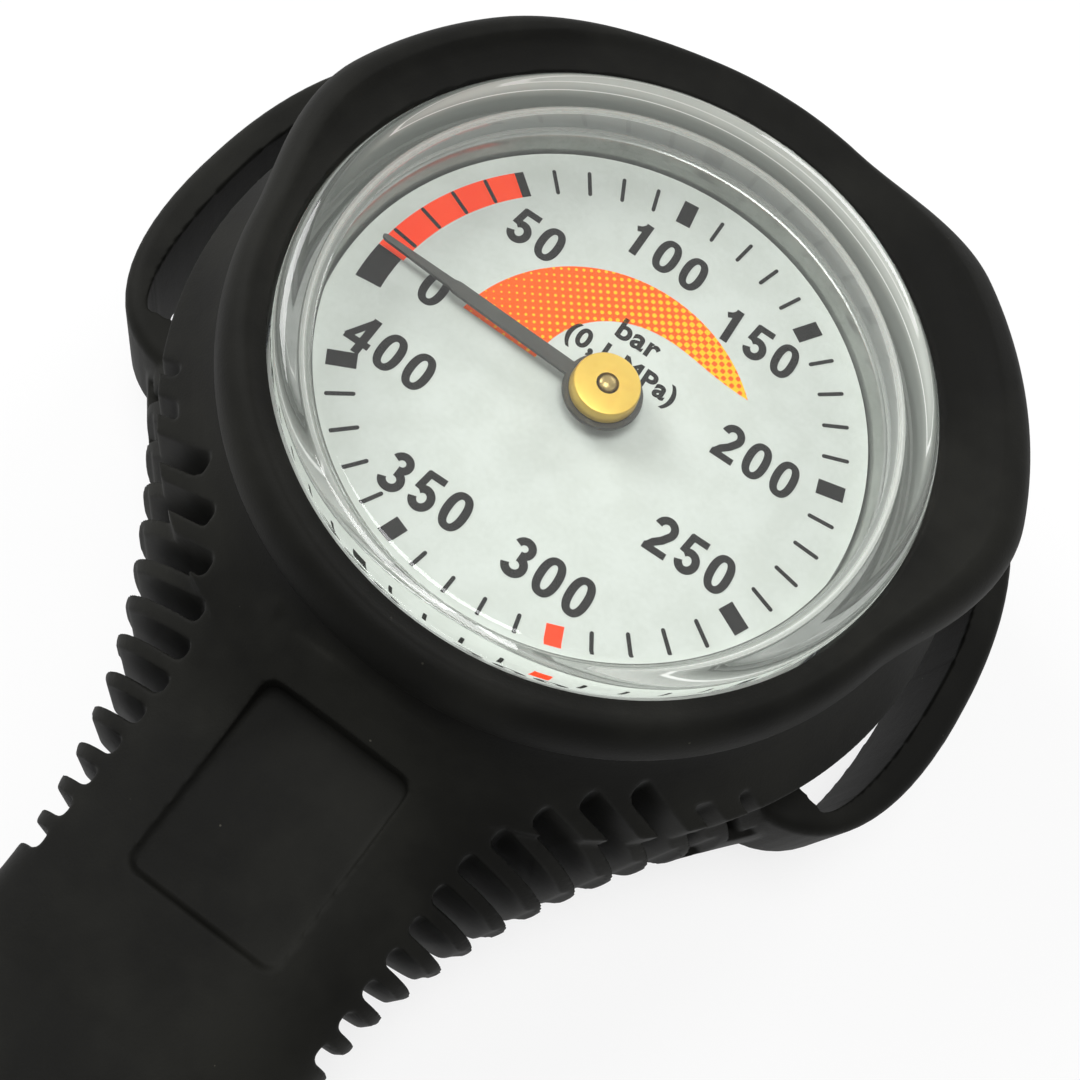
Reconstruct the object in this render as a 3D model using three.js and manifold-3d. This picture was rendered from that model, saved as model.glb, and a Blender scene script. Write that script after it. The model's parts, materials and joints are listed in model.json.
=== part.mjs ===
// A diver's submersible pressure gauge: a brass capsule with a Bourdon-tube movement under a thick clear
// lens, carried in a moulded rubber boot with a ribbed handle and two side loops.
// Millimetres, +Z up. The gauge lies on its back. The origin is on the flat back face, under the dial's axis:
// the dial looks up +Z and the handle points along -Y.
import * as THREE from "three";
import { mergeVertices } from "three/addons/utils/BufferGeometryUtils.js";
import Module from "manifold-3d";

// ---- driving dimensions -------------------------------------------------------------------------------

const FIT = 0.3; // gap between pieces that seat on each other
const ROUND = 40; // facets round a large turned piece

// Boot
const DIAL_Z = 27; // height of the printed face above the back
const CUP_R = 37; // widest radius of the boot round the capsule
const CUP_WAIST_Z = 21; // height of that widest radius
const BACK_R = 31.6; // flat back face
// The lip has three forms. Each gives the crease under it, how far it stands out over the crease, its crest,
// and the exponent of its rounded section.
const LIP = {
  bore: 28.5, // opening round the lens
  innerZ: 36.4, // where the lip meets the lens
  near: { crease: 31.6, creaseZ: 32.2, step: 0.6, ridge: 29.9, ridgeZ: 37, squareness: 2 }, // handle's side
  wing: { crease: 37, creaseZ: 31, step: 0.3, ridge: 31.5, ridgeZ: 38.4, squareness: 2.8 }, // two fat shoulders
  dip: { crease: 34.8, creaseZ: 31, step: 0, ridge: 31.7, ridgeZ: 37.5, squareness: 2.2 }, // between the wings
  rise: [-0.26, 0.24], // sin(direction) over which the near ring widens into the wings
  dipEdge: [12, 22], // degrees from +Y over which the dip ends
};
const POCKET = { r: 31.3, floor: 3.0, top: 30.0, chamfer: 1.8 }; // seat of the capsule in the boot

// Handle
const HANDLE = {
  end: -98, // open end, where a hose enters
  waist: -58, // where the flare to the cup has ended
  half: 14.9, // half width at the waist
  endHalf: 11.5,
  flare: 0.0212, // flank: half + flare * (distance from the waist) ** flarePower
  flarePower: 1.85,
  top: 22.4, // height of the top face at the panel's far edge
  topAt: -36,
  topFall: 0.12, // fall of the top face per mm towards the open end
  endTop: 19.2,
  bottom: 0.8,
  endBottom: 1.5,
  squareness: 2.9, // exponent of the rounded section
};
const SADDLE = { inner: 33, outer: 45, r: 13.8 }; // hollow in which the handle's top rises to the cup's wall
const SLOT = {
  count: 14,
  first: -17, // place of the first slot along Y
  pitch: 2.9,
  width: 1.65,
  coreHalf: 13.5, // half width of the solid core between the slots
  coreFrom: -40,
  coreFlare: 0.0385, // core: coreHalf + coreFlare * (distance from coreFrom) ** 2
  scoops: [19, 15, 10], // the first slots are shallow scoops that start at these heights
};
const PANEL = { half: 7.2, far: -35, near: -52.6, depth: 0.75, corner: 1.3 };
const LOOP = {
  low: 11,
  high: 19,
  edge: 1.5,
  middle: 3, // place along Y of its widest point
  reach: 44.5, // half width over both loops
  band: 2.5,
  nearRoot: [31, -21.3], // where the band leaves the boot, on the handle's side
  farRoot: [23, 29.2],
  slotNear: [37.2, -13.8],
  slotFar: [28.8, 25.2],
};

// Capsule
const CASE = {
  r: 31,
  bottom: 3.3,
  floor: 6,
  bore: 27.6,
  ledge: 22.5,
  mouth: 29.6,
  top: 29.7,
  chamfer: 1.8,
  groove: 30.2,
  grooveLow: 26.7,
  grooveHigh: 28.1,
};
const INLET_Z = 10.8; // axis of the inlet, parallel to Y
const LENS = {
  r: 28.2,
  top: 37.6,
  under: 33.6,
  wall: 25.95, // inner wall, in line with the dial ring's
  wallFoot: 29.5,
  skirt: 26.9, // below that the lens goes down outside the dial ring
  foot: 23.8,
  flange: 29.3,
  flangeTop: 26.6,
  edge: 1.6,
};
const DIAL_R = 25.3;
const DIAL_THICK = 0.8;

// Movement
const TEETH = { module: 0.3, pinion: 10, wheel: 70, sectorFirst: -11, sectorLast: 1 };
const PINION_R = (TEETH.module * TEETH.pinion) / 2;
const WHEEL_R = (TEETH.module * TEETH.wheel) / 2;
const SECTOR_Y = -(PINION_R + WHEEL_R); // the sector's arbor stands this far from the dial's axis
const SCALE_SWEEP = 330; // degrees that the pointer turns over the whole scale
const SECTOR_SWEEP = (SCALE_SWEEP * TEETH.pinion) / TEETH.wheel;
const TAIL_R = 5; // from the sector's arbor to the pin of its tail
const POINTER = {
  rest: 181.1, // direction of the scale's zero, degrees from +X
  z: DIAL_Z + 1.4,
  thick: 0.5,
  tip: 23.2,
  boss: 3.6,
  hub: 3.1,
  hubTall: 1.4,
};
const ARBOR_R = 0.8;
const PLATE_LOW_Z = 16.9;
const PLATE_HIGH_Z = 22;
const PLATE_THICK = 0.9;
const LINK_Z = 18.7;
const SECTOR_Z = 19.8;
const TUBE = { r: 21.5, thick: 2.6, tall: 7.5, z: 11.2, from: -104, to: -355 };
const TIP = new THREE.Vector2(18, -3); // pivot between the tube's tip and the link

// ---- materials ----------------------------------------------------------------------------------------

const finish = (color, roughness, metalness, more = {}) =>
  new THREE.MeshStandardMaterial({ color, roughness, metalness, ...more });
const RUBBER = finish(0x22221f, 0.62, 0);
const CHROME = finish(0xc9ccd0, 0.18, 1);
const CLEAR = finish(0xf4f8fa, 0.03, 0, { transparent: true, opacity: 0.25 });
const SEAL = finish(0x141414, 0.5, 0);
const GREY_RING = finish(0x8c908e, 0.35, 0.6);
const DIAL_WHITE = finish(0xdfe5e0, 0.5, 0);
const POINTER_GREY = finish(0x34352f, 0.45, 0.2);
const BRASS = finish(0xb8943f, 0.32, 1);
const BRONZE = finish(0xb07a45, 0.35, 1);
const STEEL = finish(0xaeb2b6, 0.25, 1);

// ---- geometry helpers ---------------------------------------------------------------------------------

const wasm = await Module();
wasm.setup();

const rad = THREE.MathUtils.degToRad;
const mix = THREE.MathUtils.lerp;
const polar = (r, degrees) => new THREE.Vector2(r * Math.cos(rad(degrees)), r * Math.sin(rad(degrees)));

/** A closed geometry as a manifold solid. */
function solid(geometry) {
  geometry.deleteAttribute("normal");
  geometry.deleteAttribute("uv");
  const merged = mergeVertices(geometry, 1e-4);
  return new wasm.Manifold(
    new wasm.Mesh({
      numProp: 3,
      vertProperties: merged.attributes.position.array,
      triVerts: new Uint32Array(merged.index.array),
    }),
  );
}

/** A named mesh of a solid. */
function piece(name, body, material) {
  const { vertProperties, triVerts } = body.getMesh();
  const geometry = new THREE.BufferGeometry();
  geometry.setAttribute("position", new THREE.BufferAttribute(vertProperties, 3));
  geometry.setIndex(new THREE.BufferAttribute(triVerts, 1));
  geometry.computeVertexNormals();
  const mesh = new THREE.Mesh(geometry, material);
  mesh.name = name;
  return mesh;
}

/** Twice the signed area of a closed outline. */
const turning = (outline) =>
  outline.reduce((sum, [x, y], i) => {
    const [nextX, nextY] = outline[(i + 1) % outline.length];
    return sum + x * nextY - nextX * y;
  }, 0);

/** A solid of revolution about Z from a closed outline of [radius, z] pairs. */
function turned(outline, facets = ROUND) {
  const closed = turning(outline) > 0 ? [...outline] : [...outline].reverse();
  closed.push(closed[0]);
  const points = closed.map(([r, z]) => new THREE.Vector2(Math.max(r, 0), z));
  return solid(new THREE.LatheGeometry(points, facets).rotateX(Math.PI / 2));
}

/** The same, about the inlet's axis: outline of [radius, y] pairs. */
function turnedOnInlet(outline, facets = 24) {
  const flipped = outline.map(([r, y]) => [r, -y]);
  return turned(flipped, facets).rotate([90, 0, 0]).translate([0, 0, INLET_Z]);
}

/** A cylinder standing on z = low. */
function post(r, low, high, x = 0, y = 0, facets = 16) {
  const geometry = new THREE.CylinderGeometry(r, r, high - low, facets).rotateX(Math.PI / 2);
  return solid(geometry.translate(x, y, (low + high) / 2));
}

/** A box between two corners. */
function block([x0, y0, z0], [x1, y1, z1]) {
  const geometry = new THREE.BoxGeometry(x1 - x0, y1 - y0, z1 - z0);
  return solid(geometry.translate((x0 + x1) / 2, (y0 + y1) / 2, (z0 + z1) / 2));
}

/** A flat plate of a shape, from z = low to z = high, with an optional rounded edge. */
function plate(shape, low, high, edge = 0, curveSegments = 8) {
  const geometry = new THREE.ExtrudeGeometry(shape, {
    depth: high - low - 2 * edge,
    bevelEnabled: edge > 0,
    bevelThickness: edge,
    bevelSize: edge,
    bevelOffset: -edge,
    bevelSegments: 2,
    curveSegments,
  });
  return solid(geometry.translate(0, 0, low + edge));
}

/** A rounded rectangle between two corners. */
function roundedRect(x0, y0, x1, y1, r) {
  const shape = new THREE.Shape();
  shape.moveTo(x0 + r, y0);
  shape.lineTo(x1 - r, y0).absarc(x1 - r, y0 + r, r, -Math.PI / 2, 0);
  shape.lineTo(x1, y1 - r).absarc(x1 - r, y1 - r, r, 0, Math.PI / 2);
  shape.lineTo(x0 + r, y1).absarc(x0 + r, y1 - r, r, Math.PI / 2, Math.PI);
  shape.lineTo(x0, y0 + r).absarc(x0 + r, y0 + r, r, Math.PI, 1.5 * Math.PI);
  return shape;
}

/** A closed body through rings of the same number of points, with flat ends. */
function loft(rings) {
  const count = rings[0].length;
  const points = rings.flat();
  const faces = [];
  const centre = (ring) => ring.reduce((sum, p) => sum.add(p), new THREE.Vector3()).divideScalar(count);
  rings.slice(1).forEach((_, row) => {
    for (let i = 0; i < count; i++) {
      const a = row * count + i;
      const b = row * count + ((i + 1) % count);
      faces.push(a, b, b + count, a, b + count, a + count);
    }
  });
  const last = (rings.length - 1) * count;
  points.push(centre(rings[0]), centre(rings.at(-1)));
  for (let i = 0; i < count; i++) {
    const next = (i + 1) % count;
    faces.push(points.length - 2, next, i, points.length - 1, last + i, last + next);
  }
  const geometry = new THREE.BufferGeometry().setFromPoints(points);
  geometry.setIndex(faces);
  return solid(geometry);
}

const union = (...bodies) => bodies.reduce((a, b) => a.add(b));
const cut = (body, ...tools) => tools.reduce((a, b) => a.subtract(b), body);

// ---- boot ---------------------------------------------------------------------------------------------

/** The lip's form in one direction round the dial. */
function lipForm(angle) {
  const far = THREE.MathUtils.smoothstep(Math.sin(angle), ...LIP.rise);
  const dip = 1 - THREE.MathUtils.smoothstep(Math.abs(angle - Math.PI / 2) / rad(1), ...LIP.dipEdge);
  const blend = (key) => mix(mix(LIP.near[key], LIP.wing[key], far), LIP.dip[key], dip);
  return Object.fromEntries(Object.keys(LIP.near).map((key) => [key, blend(key)]));
}

/** Radius and height of the cup's outer skin at each station, for one direction round the dial. */
function cupProfile(angle) {
  const { crease, creaseZ, step, ridge, ridgeZ, squareness } = lipForm(angle);
  const lip = crease + step;
  const lipZ = creaseZ + 0.9;
  const power = 2 / squareness;
  const profile = [
    [BACK_R, 0],
    [34.2, 1.2],
    [35.6, 4.4],
    [36.4, 12],
    [CUP_R, CUP_WAIST_Z],
  ];
  for (const t of [0.3, 0.65, 1]) {
    profile.push([mix(CUP_R, crease, 1 - (1 - t) ** 1.5), mix(CUP_WAIST_Z, creaseZ, t)]);
  }
  for (const t of [0, 22, 45, 68, 90]) {
    profile.push([
      mix(ridge, lip, Math.cos(rad(t)) ** power),
      mix(lipZ, ridgeZ, Math.sin(rad(t)) ** power),
    ]);
  }
  profile.push([mix(ridge, LIP.bore, 0.6), mix(ridgeZ, LIP.innerZ, 0.45)]);
  profile.push([LIP.bore - FIT, LIP.innerZ]);
  return profile;
}

/** The cup round the capsule, still solid. */
function cupSkin() {
  const profiles = Array.from({ length: ROUND }, (_, i) => {
    const angle = (2 * Math.PI * i) / ROUND;
    return cupProfile(angle).map(([r, z]) => new THREE.Vector3(r * Math.cos(angle), r * Math.sin(angle), z));
  });
  return loft(profiles[0].map((_, station) => profiles.map((profile) => profile[station])));
}

/** Half width, lowest and highest point of the handle at a place along Y. */
function handleSection(y) {
  const beyond = Math.max(0, HANDLE.waist - y) / (HANDLE.waist - HANDLE.end);
  const before = Math.max(0, y - HANDLE.waist);
  const ease = THREE.MathUtils.smoothstep(beyond, 0, 1);
  const flank = mix(HANDLE.half, HANDLE.endHalf, ease) + HANDLE.flare * before ** HANDLE.flarePower;
  const withinCup = Math.sqrt(Math.max(0, (CUP_R - 1) ** 2 - y * y));
  const top = Math.max(HANDLE.endTop, HANDLE.top - HANDLE.topFall * Math.max(0, HANDLE.topAt - y));
  return {
    half: y > SLOT.first ? Math.min(flank, withinCup) : flank,
    low: mix(HANDLE.bottom, HANDLE.endBottom, beyond),
    high: top,
  };
}

/** Rise of the handle's top at a place near the cup. */
function saddleRise(x, y) {
  const reach = Math.max(0, SADDLE.outer - Math.max(Math.hypot(x, y), SADDLE.inner));
  return SADDLE.r - Math.sqrt(SADDLE.r ** 2 - reach ** 2);
}

/** The handle, still solid and without its slots. */
function handleSkin() {
  const places = [-10, -17, -20, -23, -26, -29, -32, -36, -40, -44, -48, -52, -56, -62, -70, -80, -90, -96.6];
  const sides = 24;
  const power = 2 / HANDLE.squareness;
  const ringAt = (y, shrink) => {
    const { half, low, high } = handleSection(y);
    return Array.from({ length: sides }, (_, i) => {
      const angle = (-2 * Math.PI * i) / sides;
      const [c, s] = [Math.cos(angle), Math.sin(angle)];
      const x = (half - shrink) * Math.sign(c) * Math.abs(c) ** power;
      const level = Math.sign(s) * Math.abs(s) ** power;
      const z = (low + high) / 2 + ((high - low) / 2 - shrink) * level;
      return new THREE.Vector3(x, y, z + saddleRise(x, y) * Math.max(0, level));
    }).reverse();
  };
  return loft([...places.map((y) => ringAt(y, 0)), ringAt(HANDLE.end + 0.4, 0.4), ringAt(HANDLE.end, 1.4)]);
}

/** A side loop: a D-shaped band with a slot that a clip or a cord goes through. */
function sideLoop(side) {
  const { low, high, middle, reach, band, nearRoot, farRoot, slotNear, slotFar } = LOOP;
  // From a near root over the widest point to a far root, then back along `inner`, inside the cup.
  const arch = (widest, [nearX, nearY], [farX, farY], inner) => {
    const shape = new THREE.Shape();
    shape.moveTo(side * nearX, nearY);
    const edge = side * widest;
    const [nearBend, farBend] = [side * mix(nearX, widest, 0.84), side * mix(farX, widest, 1.05)];
    shape.bezierCurveTo(nearBend, nearY + 2, edge, mix(nearY, middle, 0.55), edge, middle);
    shape.bezierCurveTo(edge, mix(middle, farY, 0.45), farBend, farY + 0.5, side * farX, farY);
    return shape.lineTo(side * inner, farY - 2).lineTo(side * inner, nearY + 2).closePath();
  };
  const outer = arch(reach, nearRoot, farRoot, 19);
  const slot = arch(reach - band, slotNear, slotFar, 28);
  return cut(plate(outer, low, high, LOOP.edge, 8), plate(slot, low - 1, high + 1, 0, 8));
}

/** The slots between the ribs on one side, each a straight cut in from the flank. */
function ribSlots(side) {
  const slots = [];
  for (let i = 0; i < SLOT.count; i++) {
    const y = SLOT.first - i * SLOT.pitch;
    const core = SLOT.coreHalf + SLOT.coreFlare * Math.max(0, y - SLOT.coreFrom) ** 2;
    const low = SLOT.scoops[i] ?? -1;
    const [x0, x1] = side > 0 ? [core, 50] : [-50, -core];
    slots.push(block([x0, y - SLOT.width / 2, low], [x1, y + SLOT.width / 2, 40]));
  }
  return union(...slots);
}

/** The recessed panel on top of the handle, left bare. */
function panelRecess() {
  const middle = (PANEL.far + PANEL.near) / 2;
  const halfLong = (PANEL.far - PANEL.near) / 2;
  const shape = roundedRect(-PANEL.half, -halfLong, PANEL.half, halfLong, PANEL.corner);
  const floor = handleSection(middle).high - PANEL.depth;
  return plate(shape, 0, 12).rotate([Math.atan(HANDLE.topFall) / rad(1), 0, 0]).translate([0, middle, floor]);
}

function boot() {
  const { r, floor, top, chamfer } = POCKET;
  const pocket = turned([[0, floor], [r - chamfer, floor], [r, floor + chamfer], [r, top], [0, top]]);
  const lipBore = post(LIP.bore, top - 1, 45, 0, 0, ROUND);
  const hoseBore = turnedOnInlet([
    [0, -25], [8.5, -25], [8.5, -40], [7, -42], [7, -72], [6.1, -78], [6.1, -100], [0, -100],
  ]);
  const cupCore = post(POCKET.r + 1.2, -1, 45, 0, 0, ROUND);
  const slots = cut(union(ribSlots(1), ribSlots(-1)), cupCore);
  const ribbed = cut(union(handleSkin(), cupSkin()), slots);
  const looped = union(ribbed, sideLoop(1), sideLoop(-1));
  return piece("boot", cut(looped, panelRecess(), pocket, lipBore, hoseBore), RUBBER);
}

// ---- capsule ------------------------------------------------------------------------------------------

const PLUG = { x: 12, y: 8, head: 4.2, stem: 2.6, step: 4.5 };

function caseCup() {
  const c = CASE;
  const cup = turned([
    [0, c.bottom], [c.r - c.chamfer, c.bottom], [c.r, c.bottom + c.chamfer], [c.r, c.top],
    [c.mouth, c.top], [c.mouth, c.grooveHigh], [c.groove, c.grooveHigh], [c.groove, c.grooveLow],
    [c.mouth, c.grooveLow], [c.mouth, c.ledge], [c.bore, c.ledge], [c.bore, c.floor], [0, c.floor],
  ]);
  const port = turnedOnInlet([[0, -24], [5.2, -24], [5.2, -34], [0, -34]]);
  const plugSeat = union(
    post(PLUG.head, c.bottom - 1, PLUG.step, PLUG.x, PLUG.y),
    post(PLUG.stem, PLUG.step - 1, c.floor + 1, PLUG.x, PLUG.y),
  );
  return piece("case", cut(cup, port, plugSeat), CHROME);
}

/** Rubber plug that blows out of the case's back if the capsule ever floods with high pressure. */
function reliefPlug() {
  const head = post(PLUG.head - 0.2, CASE.bottom + 0.1, PLUG.step - 0.2, PLUG.x, PLUG.y);
  const stem = post(PLUG.stem - 0.15, PLUG.step - 0.5, CASE.floor - 0.1, PLUG.x, PLUG.y);
  return piece("relief_plug", union(head, stem), SEAL);
}

/** The thick clear lens: a cup that stands upside down in the case's mouth. */
function lens() {
  const l = LENS;
  const rim = [0, 30, 60, 90].map((t) => [
    l.r - l.edge + l.edge * Math.cos(rad(t)),
    l.top - l.edge + l.edge * Math.sin(rad(t)),
  ]);
  return piece("lens", turned([
    [0, l.under], [l.wall - 1.4, l.under], [l.wall - 0.4, l.under - 0.4], [l.wall, l.under - 1.4],
    [l.wall, l.wallFoot], [l.skirt, l.wallFoot], [l.skirt, l.foot], [l.flange, l.foot],
    [l.flange, 24.4], [28.1, 24.4], [28.1, 26], [l.flange, 26],
    [l.flange, l.flangeTop], [l.r, l.flangeTop], ...rim, [0, l.top],
  ]), CLEAR);
}

/** A seal of round section. */
function sealRing(name, r, z, section) {
  const outline = Array.from({ length: 6 }, (_, i) => {
    const p = polar(section / 2, 60 * i);
    return [r + p.x, z + p.y];
  });
  return piece(name, turned(outline), SEAL);
}

/** Open spring ring that snaps into the case's groove over the lens's flange. */
function snapRing() {
  const ring = turned([[28.5, 26.9], [30.05, 26.9], [30.05, 27.9], [28.5, 27.9]]);
  return piece("lens_snap_ring", cut(ring, block([-2.5, 20, 20], [2.5, 35, 30])), STEEL);
}

/** Grey ring that carries the dial on the case's ledge and stands round it as a low wall. */
function dialRing() {
  return piece("dial_ring", turned([
    [24.3, 22.8], [29.3, 22.8], [29.3, 23.5], [26.6, 23.5], [26.6, 29.2], [25.95, 29.2], [25.75, 29],
    [25.6, 27.2], [25.6, 26], [24.3, 26],
  ]), GREY_RING);
}

function dialPlate() {
  const top = DIAL_Z;
  const low = top - DIAL_THICK;
  return piece("dial_plate", turned([[1.6, low], [DIAL_R, low], [DIAL_R, top], [1.6, top]]), DIAL_WHITE);
}

// ---- inlet --------------------------------------------------------------------------------------------

const SPIGOT_R = 3.8;
const STEM_END = -47;
const COLLAR = { near: -31.4, far: -35.4, acrossFlats: 14 };

/** Nipple that joins the hose to the tube's socket: spigot, hexagon and outer end. */
function inletStem() {
  const body = turnedOnInlet([
    [1, -22.6], [SPIGOT_R, -22.6], [SPIGOT_R, -27.9], [5, -27.9], [5, -36], [5.3, -36.4], [5.3, -46.4],
    [4.8, STEM_END], [3, STEM_END], [3, -38.5], [1, -38.5],
  ]);
  const hexagon = new THREE.CylinderGeometry(1, 1, COLLAR.near - COLLAR.far, 6);
  const corner = COLLAR.acrossFlats / Math.sqrt(3);
  hexagon.scale(corner, 1, corner).translate(0, (COLLAR.near + COLLAR.far) / 2, INLET_Z);
  const bore = turnedOnInlet([[0, -20], [4, -20], [4, -50], [0, -50]]);
  return piece("inlet_stem", union(body, cut(solid(hexagon), bore)), BRASS);
}

function stemWasher() {
  return piece("stem_washer", turnedOnInlet([[4, -26.4], [4.7, -26.4], [4.7, -27.1], [4, -27.1]]), SEAL);
}

/** Brass block that the stem and the tube are fixed in, and that carries the movement. */
function socketBlock() {
  const body = block([-7, -26.2, 6.3], [7, -17.8, 16.6]);
  const bore = turnedOnInlet([[0, -21.8], [SPIGOT_R + 0.2, -21.8], [SPIGOT_R + 0.2, -30], [0, -30]]);
  const pocket = block([-8, -22.9, 7], [-4.8, -18.6, 15.4]);
  const passage = block([-5.5, -23.4, INLET_Z - 0.6], [0, -22.2, INLET_Z + 0.6]);
  const screws = SCREW_X.map((x) => post(1.05, 15.6, 18, x, SCREW_Y));
  return piece("socket_block", cut(body, bore, pocket, passage, ...screws), BRASS);
}

const SPOOL_SEALS = [-41.2, -51];

/** Loose pin that seals between the stem and a hose and lets the hose swivel. */
function airSpool() {
  const groove = (y) => [[2.3, y + 0.65], [1.7, y + 0.65], [1.7, y - 0.65], [2.3, y - 0.65]];
  const outline = [[0.8, -39], [2.3, -39], ...SPOOL_SEALS.flatMap(groove), [2.3, -53], [0.8, -53]];
  return piece("air_spool", turnedOnInlet(outline, 16), STEEL);
}

function spoolSeal(name, y) {
  const outline = Array.from({ length: 6 }, (_, i) => {
    const p = polar(0.5, 60 * i);
    return [2.35 + p.x, y + p.y];
  });
  return piece(name, turnedOnInlet(outline, 16), SEAL);
}

// ---- movement -----------------------------------------------------------------------------------------

const SCREW_X = [-4.5, 4.5];
const SCREW_Y = -22.2;
const PILLARS = [[-6, 5.5], [6, 5.5], [-6, -19.4], [6, -19.4]];

/** The flattened C-shaped tube that the gas straightens. */
function bourdonTube() {
  const section = new THREE.Shape();
  const flat = TUBE.tall / 2 - TUBE.thick / 2;
  section.absarc(flat, 0, TUBE.thick / 2, -Math.PI / 2, Math.PI / 2);
  section.absarc(-flat, 0, TUBE.thick / 2, Math.PI / 2, 1.5 * Math.PI);
  class Arc extends THREE.Curve {
    getPoint(t, target = new THREE.Vector3()) {
      const p = polar(TUBE.r, mix(TUBE.from, TUBE.to, t));
      return target.set(p.x, p.y, TUBE.z);
    }
  }
  const sweep = { extrudePath: new Arc(), steps: 26, curveSegments: 2 };
  return piece("bourdon_tube", solid(new THREE.ExtrudeGeometry(section, sweep)), BRONZE);
}

/** End piece of the tube, with the post that the link's pin stands in. */
function tubeTip() {
  const corners = [[20, 1.3], [22.6, 1.3], [22.6, -4.2], [16.8, -4.2], [16.8, -1.8], [20, -1.8]];
  const lug = plate(new THREE.Shape(corners.map(([x, y]) => new THREE.Vector2(x, y)).reverse()), 8, 14.4);
  const stand = post(1.2, 14, 18.3, TIP.x, TIP.y);
  return piece("tube_tip", cut(union(lug, stand), post(0.65, 12, 20, TIP.x, TIP.y)), BRASS);
}

/** Direction from the sector's arbor to the middle of its teeth at rest. */
const SECTOR_REST = 90 - SECTOR_SWEEP / 2;
const TAIL = polar(TAIL_R, SECTOR_REST + 180).add(new THREE.Vector2(0, SECTOR_Y));

/** Flat link from the tube's tip to the sector's tail. */
function link() {
  const eye = new THREE.Vector2(TAIL.x, TAIL.y - 0.2); // midway along the pin's small arc
  const along = new THREE.Vector2().subVectors(TIP, eye).normalize();
  const across = new THREE.Vector2(-along.y, along.x).multiplyScalar(0.8);
  const shape = new THREE.Shape([
    eye.clone().add(across), eye.clone().sub(across), TIP.clone().sub(across), TIP.clone().add(across),
  ]);
  const high = LINK_Z + 0.6;
  const low = LINK_Z - 1;
  const eyes = [post(1.8, LINK_Z, high, TIP.x, TIP.y), post(1.9, LINK_Z, high, eye.x, eye.y)];
  const holes = [post(0.7, low, high + 1, TIP.x, TIP.y), post(0.95, low, high + 1, eye.x, eye.y)];
  return piece("link", cut(union(plate(shape, LINK_Z, high), ...eyes), ...holes), STEEL);
}

/** Outline points of one straight-flanked tooth, centred on a direction. */
function tooth(pitchR, direction, rootR, tipR) {
  const halfAngle = (width, r) => width / r / rad(1);
  return [
    polar(rootR, direction - halfAngle(0.27, rootR)),
    polar(pitchR, direction - halfAngle(0.19, pitchR)),
    polar(tipR, direction - halfAngle(0.1, tipR)),
    polar(tipR, direction + halfAngle(0.1, tipR)),
    polar(pitchR, direction + halfAngle(0.19, pitchR)),
    polar(rootR, direction + halfAngle(0.27, rootR)),
  ];
}

function pinion() {
  const outline = [];
  for (let i = 0; i < TEETH.pinion; i++) {
    const direction = -90 + (360 / TEETH.pinion) * (i + 0.5); // a gap faces the sector
    outline.push(...tooth(PINION_R, direction, PINION_R - 0.36, PINION_R + 0.27));
  }
  const body = plate(new THREE.Shape(outline), 18.5, 21.6);
  return piece("pinion", cut(body, post(ARBOR_R + 0.1, 18, 22)), BRASS);
}

/** Toothed sector with its tail, at the zero end of its swing. */
function sectorGear() {
  const outline = [];
  for (let i = TEETH.sectorFirst; i <= TEETH.sectorLast; i++) {
    outline.push(...tooth(WHEEL_R, 90 + (360 / TEETH.wheel) * i, WHEEL_R - 0.38, WHEEL_R + 0.26));
  }
  outline.push(polar(1.9, SECTOR_REST + 60), polar(1.9, SECTOR_REST - 60));
  const low = SECTOR_Z;
  const high = SECTOR_Z + 0.8;
  const fan = plate(new THREE.Shape(outline), low, high);
  const window = new THREE.Shape();
  window.absarc(0, 0, 8.4, rad(SECTOR_REST - 19), rad(SECTOR_REST + 19));
  window.absarc(0, 0, 4.2, rad(SECTOR_REST + 15), rad(SECTOR_REST - 15), true);
  const tailEnd = polar(TAIL_R, SECTOR_REST + 180);
  const across = polar(1.1, SECTOR_REST + 90);
  const arm = new THREE.Shape([
    across.clone(), across.clone().negate(), tailEnd.clone().sub(across), tailEnd.clone().add(across),
  ].reverse());
  const tail = union(plate(arm, low, high), post(1.3, low, high, tailEnd.x, tailEnd.y));
  const body = union(fan, post(2.1, low, high), tail);
  const holes = [post(0.8, low - 1, high + 1), post(0.55, low - 1, high + 1, tailEnd.x, tailEnd.y)];
  const gear = cut(body, plate(window.closePath(), low - 1, high + 1), ...holes);
  return piece("sector_gear", gear.translate([0, SECTOR_Y, 0]), BRASS);
}

/** A plate of the movement, from the place `near` on the handle's side, with its holes as [radius, x, y]. */
function movementPlate(name, low, near, holes) {
  const high = low + PLATE_THICK;
  const tools = holes.map(([r, x, y]) => post(r, low - 1, high + 1, x, y, 12));
  return piece(name, cut(plate(roundedRect(-8, near, 8, 8.4, 2.2), low, high, 0, 3), ...tools), BRASS);
}

/** The pointer: a thin blade with a shoulder two thirds along it, on a round boss, lying on zero. */
function pointer() {
  const { z, thick, tip, boss } = POINTER;
  const shoulder = tip * 0.69;
  const edge = [[2, 0.7], [shoulder - 0.6, 0.6], [shoulder, 0.44], [tip - 0.3, 0.26], [tip, 0.1]];
  const mirrored = edge.map(([x, y]) => [x, -y]).reverse();
  const blade = new THREE.Shape([...edge, ...mirrored].map(([x, y]) => new THREE.Vector2(x, y)).reverse());
  const disc = turned([[1, z], [boss - 0.2, z], [boss, z + 0.2], [boss, z + thick], [1, z + thick]], 32);
  const arm = plate(blade, z + 0.1, z + thick).subtract(post(1.5, z - 1, z + 2));
  return piece("pointer", union(arm, disc).rotate([0, 0, POINTER.rest]), POINTER_GREY);
}

/** Brass cap that holds the pointer on the arbor. */
function pointerHub() {
  const low = POINTER.z + POINTER.thick + 0.1;
  const high = low + POINTER.hubTall;
  const wall = POINTER.hub;
  const outline = [[1, low], [wall, low], [wall - 0.1, high - 0.2], [wall - 0.3, high], [1, high]];
  return piece("pointer_hub", turned(outline, 32), BRASS);
}

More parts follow.
